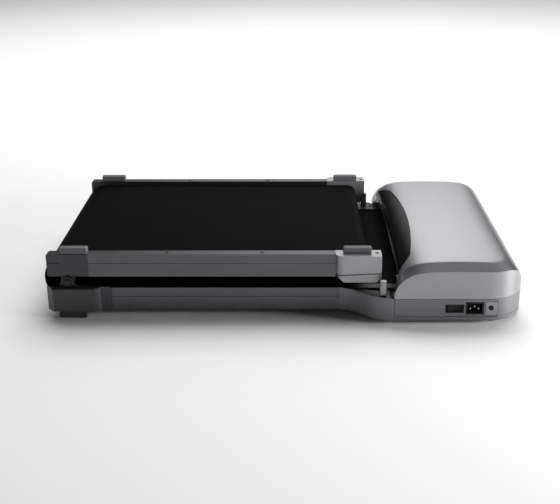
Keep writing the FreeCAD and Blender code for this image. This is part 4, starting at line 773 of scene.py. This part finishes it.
def display_window(shape):
    """The smoked window: from the entry's top over the crease to the bowed edge."""
    gap = 0.4 * MM
    cover_gap, least = 0.002, 0.0015  # as shares of the section
    face_steps, top_steps = 8, 18
    rows = []
    for row in hood_rows(shape):
        y = row * shape.half
        edge = shape.window_edge(y)
        end = shape.along_at(edge, y)
        if abs(y) > ENTRY_HALF + MM:
            continue
        end = max(end - cover_gap, least)
        top = shape.at(0, y)
        levels = [ENTRY_TOP + (top[1] - ENTRY_TOP) * step / face_steps
                  for step in range(face_steps)]
        under = left_face(shape, y, top, levels)
        over = []
        for step in range(top_steps + 1):
            x, z = shape.at(end * step / top_steps, y)
            over.append(Vector((x, y, z)))
        rows.append(under + over)
    rows[0] = [place + Vector((0, gap, 0)) for place in rows[0]]
    rows[-1] = [place - Vector((0, gap, 0)) for place in rows[-1]]
    return joined("display_window_pane", [grid_mesh("window", rows)])


def add_wall(piece, thick):
    """Give a moulded shell its thickness, inwards."""
    wall = piece.modifiers.new("wall", "SOLIDIFY")
    wall.thickness = thick
    wall.offset = -1
    wall.use_even_offset = False


class TREADMILL_OT_hood(bpy.types.Operator):
    """Mould the motor hood's cover and its display window"""
    bl_idname = "treadmill.hood"
    bl_label = "Motor Hood"

    def execute(self, context):
        sizes = context.scene.treadmill_hood
        shape = HoodShape(sizes)
        cover = add_piece("hood_cover_moulding", hood_cover(shape), "hood_cover")
        pane = add_piece("display_window_pane", display_window(shape), "display_window")
        for piece in (cover, pane):
            for face in piece.data.polygons:
                face.use_smooth = True
            add_wall(piece, sizes.wall)
            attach(piece, BODY_OF["hood_cover"])
        add_bevel(cover, sizes.edge_round, steps=4, angle=math.radians(24))
        add_bevel(pane, 0.6 * MM, angle=math.radians(35))
        return {"FINISHED"}


# ---- pieces that keep their CAD shape, with moulded edges ----

class TREADMILL_OT_base(bpy.types.Operator):
    """Mould the base under the hood and the covers that widen the rails to it"""
    bl_idname = "treadmill.base"
    bl_label = "Base and Transitions"

    def execute(self, context):
        edges = context.scene.treadmill_edges
        refined("base_shell", edges.fine)
        refined("bottom_tray", edges.moulding * 0.5)
        for node in ("transition_cover_left", "transition_cover_right"):
            # the tops of the transition covers get painted shade in black
            paint_shade_on_tops(refined(node, edges.moulding))
        refined("rest_posts", edges.moulding)
        refined("hood_feet", edges.fine)
        return {"FINISHED"}


class TREADMILL_OT_rails(bpy.types.Operator):
    """Finish the four extruded side rails"""
    bl_idname = "treadmill.rails"
    bl_label = "Side Rails"

    def execute(self, context):
        radius = context.scene.treadmill_edges.extrusion
        for side in ("left", "right"):
            refined("rear_rail_" + side, radius)
            # the tops of the front rails get painted shade in black
            paint_shade_on_tops(refined("front_rail_" + side, radius))
        return {"FINISHED"}


class TREADMILL_OT_castings(bpy.types.Operator):
    """Finish the hinge caps, corner covers, tail caps and lids"""
    bl_idname = "treadmill.castings"
    bl_label = "End Castings"

    def execute(self, context):
        edges = context.scene.treadmill_edges
        for side in ("left", "right"):
            for node in ("rear_hinge_cap_", "corner_cover_", "tail_cap_"):
                refined(node + side, edges.casting, 4)
        refined("tail_lids", edges.casting, 4)
        return {"FINISHED"}


class TREADMILL_OT_feet(bpy.types.Operator):
    """Finish the rubber feet at both ends"""
    bl_idname = "treadmill.feet"
    bl_label = "Rubber Feet"

    def execute(self, context):
        for node in ("rear_feet", "hinge_end_feet"):
            refined(node, context.scene.treadmill_edges.rubber)
        return {"FINISHED"}


class TREADMILL_OT_connectors(bpy.types.Operator):
    """Finish the power switch, mains inlet, breaker and their panel"""
    bl_idname = "treadmill.connectors"
    bl_label = "Connector Panel"

    def execute(self, context):
        edges = context.scene.treadmill_edges
        for node in ("socket_panel", "switch_housing", "switch_rocker", "power_inlet",
                     "inlet_pins", "reset_breaker", "reset_button"):
            refined(node, edges.fine)
        return {"FINISHED"}


class TREADMILL_OT_fasteners(bpy.types.Operator):
    """Finish the screws, pins and plates that show"""
    bl_idname = "treadmill.fasteners"
    bl_label = "Screws and Pins"

    def execute(self, context):
        edges = context.scene.treadmill_edges
        refined("rear_screws", edges.fine * 0.5)
        for node in ("tension_screws", "hinge_pins", "hinge_plates", "front_wheel_left",
                     "front_wheel_right"):
            refined(node, edges.fine)
        return {"FINISHED"}


# ---- the walking belt ----

def belt_strip(name, path, outward, node):
    """A strip of belt as wide as the belt, along a path with its outward directions."""
    low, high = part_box("belt_outer_bend")
    thick = BELT_THICK
    bevel = 0.35 * MM
    form = bmesh.new()
    loops = []
    for place, normal in zip(path, outward):
        section = []
        for out, side_out in ((0, bevel), (-bevel, 0), (-thick + bevel, 0), (-thick, bevel)):
            section.append(place + normal * out + Vector((0, low.y + side_out, 0)))
        for out, side_out in ((-thick, bevel), (-thick + bevel, 0), (-bevel, 0), (0, bevel)):
            section.append(place + normal * out + Vector((0, high.y - side_out, 0)))
        loops.append([form.verts.new(point) for point in section])
    for near, far in zip(loops, loops[1:]):
        for place, _ in enumerate(near):
            following = (place + 1) % len(near)
            form.faces.new((near[place], near[following], far[following], far[place]))
    form.faces.new(loops[0])
    form.faces.new(list(reversed(loops[-1])))
    bmesh.ops.recalc_face_normals(form, faces=form.faces)
    mesh = bpy.data.meshes.new(name)
    form.to_mesh(mesh)
    form.free()
    smooth(mesh)
    return add_piece(name, mesh, node)


BELT_THICK = 1.8 * MM
HINGE_GAP = 0.03 * MM  # keeps the ends of both halves' strips apart when the part lies flat
WRAP_RADIUS = FOLD_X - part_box("belt_outer_bend")[0].x
WALK_GAP = FOLD_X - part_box("belt_inner_bend")[0].x - BELT_THICK


def belt_half(half, sign):
    """The belt of one half: along the deck, round its roller and back."""
    node = "walking_belt_" + half
    low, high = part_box(node)
    reach = (WRAP_RADIUS - WALK_GAP) / 2
    centre = Vector((high.x - reach, 0, FOLD_Z + sign * (WRAP_RADIUS + WALK_GAP) / 2))
    start = FOLD_X + HINGE_GAP
    path, outward = [Vector((start, 0, FOLD_Z + sign * WALK_GAP))], [Vector((0, 0, -sign))]
    count = 24
    for step in range(count + 1):
        turn = math.pi * step / count
        normal = Vector((math.sin(turn), 0, -sign * math.cos(turn)))
        path.append(centre + normal * reach)
        outward.append(normal)
    path.append(Vector((start, 0, FOLD_Z + sign * WRAP_RADIUS)))
    outward.append(Vector((0, 0, sign)))
    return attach(belt_strip(node + "_strip", path, outward, node), BODY_OF[node])


def belt_bend(node, radius, facing):
    """Half a turn about the hinge line."""
    path, outward = [], []
    count = 48
    for step in range(count + 1):
        angle = math.pi * step / count
        # how far the blend turns this place when the part lies flat
        share = math.sin(angle / 2) ** 2
        turned = angle - math.pi * share * share * (3 - 2 * share)
        normal = Vector((-math.sin(angle), 0, -math.cos(angle)))
        distance = radius / math.cos(turned) if facing < 0 else radius
        path.append(Vector((FOLD_X, 0, FOLD_Z)) + normal * distance)
        outward.append(normal * facing)
    piece = belt_strip(node + "_strip", path, outward, node)
    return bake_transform(piece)


class TREADMILL_OT_belt(bpy.types.Operator):
    """Lay the walking belt round both halves and the fold"""
    bl_idname = "treadmill.belt"
    bl_label = "Walking Belt"

    def execute(self, context):
        belt_half("front", -1)
        belt_half("rear", 1)
        belt_bend("belt_outer_bend", WRAP_RADIUS, 1)
        belt_bend("belt_inner_bend", WALK_GAP, -1)
        return {"FINISHED"}


class TREADMILL_OT_inner_works(bpy.types.Operator):
    """Give the frame, rollers, drive and boards inside their finishes"""
    bl_idname = "treadmill.inner_works"
    bl_label = "Inner Works"

    def execute(self, context):
        for name, item in frame["nodes"].items():
            if item.hide_render:
                continue
            item.data.materials.clear()
            item.data.materials.append(finish_for(name))
        return {"FINISHED"}


# ---- floor, light and camera ----

def add_light(name, place, aim, size, power, mirrored=True):
    """A rectangular softbox that points at a place, and may be kept out of reflections."""
    lamp = bpy.data.lights.new(name, "AREA")
    lamp.shape = "RECTANGLE"
    lamp.size, lamp.size_y = size
    lamp.energy = power
    item = bpy.data.objects.new(name, lamp)
    item.location = place
    direction = Vector(aim) - Vector(place)
    item.rotation_mode = "QUATERNION"
    item.rotation_quaternion = direction.to_track_quat("-Z", "Y")
    item.visible_glossy = mirrored
    bpy.context.scene.collection.objects.link(item)


def pale_floor(stage):
    """A wide matt floor, evenly pale."""
    reach = 14
    form = bmesh.new()
    bmesh.ops.create_grid(form, x_segments=8, y_segments=8, size=reach)
    mesh = bpy.data.meshes.new("floor")
    form.to_mesh(mesh)
    form.free()
    floor = bpy.data.objects.new("floor", mesh)
    bpy.context.scene.collection.objects.link(floor)
    material, tree, shader, place = start_finish("matt_floor", stage.floor, 0.0, 0.6)
    grain = noise(tree, place, 40 * MM, 3)
    tree.links.new(shades(tree, grain, stage.floor, 0.99, 1.01), shader.inputs["Base Color"])
    mesh.materials.append(material)


def studio_sky():
    """Soft surroundings: bright behind and low down, dimmer in front, overhead and at the sides."""
    world = bpy.data.worlds.new("studio")
    bpy.context.scene.world = world
    world.use_nodes = True
    tree = world.node_tree
    tree.nodes.clear()
    direction = add_node(tree, "ShaderNodeTexCoord").outputs["Generated"]
    parts = add_node(tree, "ShaderNodeSeparateXYZ", None, {"Vector": direction}).outputs
    from_middle = add_node(tree, "ShaderNodeMath", {"operation": "SUBTRACT"},
                           {0: parts["X"], 1: 0.12})
    sideways = add_node(tree, "ShaderNodeMath", {"operation": "ABSOLUTE"},
                        {0: from_middle.outputs["Value"]}).outputs["Value"]
    # a direction, where along it the light starts and stops changing, and its strength there
    changes = ((parts["Y"], -0.3, 0.6, 0.5, 2.6), (parts["Z"], 0.15, 0.42, 0.2, 1.0),
               (parts["Z"], 0.48, 0.75, 1.0, 0.08), (sideways, 0.02, 0.36, 1.0, 0.08))
    shares = []
    for toward, start, stop, first, last in changes:
        shares.append(add_node(tree, "ShaderNodeMapRange", {"interpolation_type": "SMOOTHSTEP"},
                               {"Value": toward, "From Min": start, "From Max": stop,
                                "To Min": first, "To Max": last}))
    glow = shares[0]
    for share in shares[1:]:
        glow = add_node(tree, "ShaderNodeMath", {"operation": "MULTIPLY"},
                        {0: glow.outputs[0], 1: share.outputs[0]})
    shader = add_node(tree, "ShaderNodeBackground", None,
                      {"Color": (1, 1, 1, 1), "Strength": glow.outputs["Value"]})
    add_node(tree, "ShaderNodeOutputWorld", inputs={"Surface": shader.outputs["Background"]})


class TREADMILL_OT_stage(bpy.types.Operator):
    """Set up the pale floor, the soft light and the camera"""
    bl_idname = "treadmill.stage"
    bl_label = "Stage"

    def execute(self, context):
        stage = context.scene.treadmill_stage
        pale_floor(stage)
        studio_sky()
        add_light("overhead_softbox", place=(0.3, 2.2, 3.4), aim=(0, 0.3, 0), size=(5, 3),
                  power=215, mirrored=False)
        add_light("side_softbox", place=(1.9, -0.5, 0.3), aim=(0.38, -0.2, 0.06),
                  size=(0.6, 0.5), power=46)
        context.scene.view_settings.view_transform = "Standard"
        lens = bpy.data.cameras.new("camera")
        lens.lens = stage.lens
        lens.sensor_width = 36
        camera = bpy.data.objects.new("camera", lens)
        aim = (Matrix.Rotation(-stage.yaw, 3, "Z")
               @ Matrix.Rotation(math.pi / 2 - stage.pitch, 3, "X")
               @ Matrix.Rotation(stage.roll, 3, "Z"))
        camera.matrix_world = Matrix.LocRotScale(Vector(stage.eye), aim.to_quaternion(), None)
        context.scene.collection.objects.link(camera)
        context.scene.camera = camera
        return {"FINISHED"}


# ---- panel and registration ----

OPERATORS = (TREADMILL_OT_hood, TREADMILL_OT_base, TREADMILL_OT_rails, TREADMILL_OT_castings,
             TREADMILL_OT_feet, TREADMILL_OT_connectors, TREADMILL_OT_fasteners,
             TREADMILL_OT_belt, TREADMILL_OT_inner_works, TREADMILL_OT_stage)
SETTINGS = {"treadmill_colours": TreadmillColours, "treadmill_edges": TreadmillEdges,
            "treadmill_hood": TreadmillHood, "treadmill_stage": TreadmillStage}


class TREADMILL_PT_panel(bpy.types.Panel):
    """Lists the build steps and their settings"""
    bl_idname = "TREADMILL_PT_panel"
    bl_label = "Treadmill"
    bl_space_type = "VIEW_3D"
    bl_region_type = "UI"
    bl_category = "Treadmill"

    def draw(self, context):
        for operator in OPERATORS:
            self.layout.operator(operator.bl_idname)
        for holder, group in SETTINGS.items():
            column = self.layout.column(align=True)
            for setting in group.__annotations__:
                column.prop(getattr(context.scene, holder), setting)


def register():
    for group in SETTINGS.values():
        bpy.utils.register_class(group)
    for operator in OPERATORS:
        bpy.utils.register_class(operator)
    bpy.utils.register_class(TREADMILL_PT_panel)
    for holder, group in SETTINGS.items():
        setattr(bpy.types.Scene, holder, PointerProperty(type=group))


def unregister():
    for holder in SETTINGS:
        delattr(bpy.types.Scene, holder)
    bpy.utils.unregister_class(TREADMILL_PT_panel)
    for operator in reversed(OPERATORS):
        bpy.utils.unregister_class(operator)
    for group in reversed(list(SETTINGS.values())):
        bpy.utils.unregister_class(group)


def main():
    register()
    for operator in OPERATORS:
        group, name = operator.bl_idname.split(".")
        getattr(getattr(bpy.ops, group), name)()


if __name__ == "__main__":
    main()
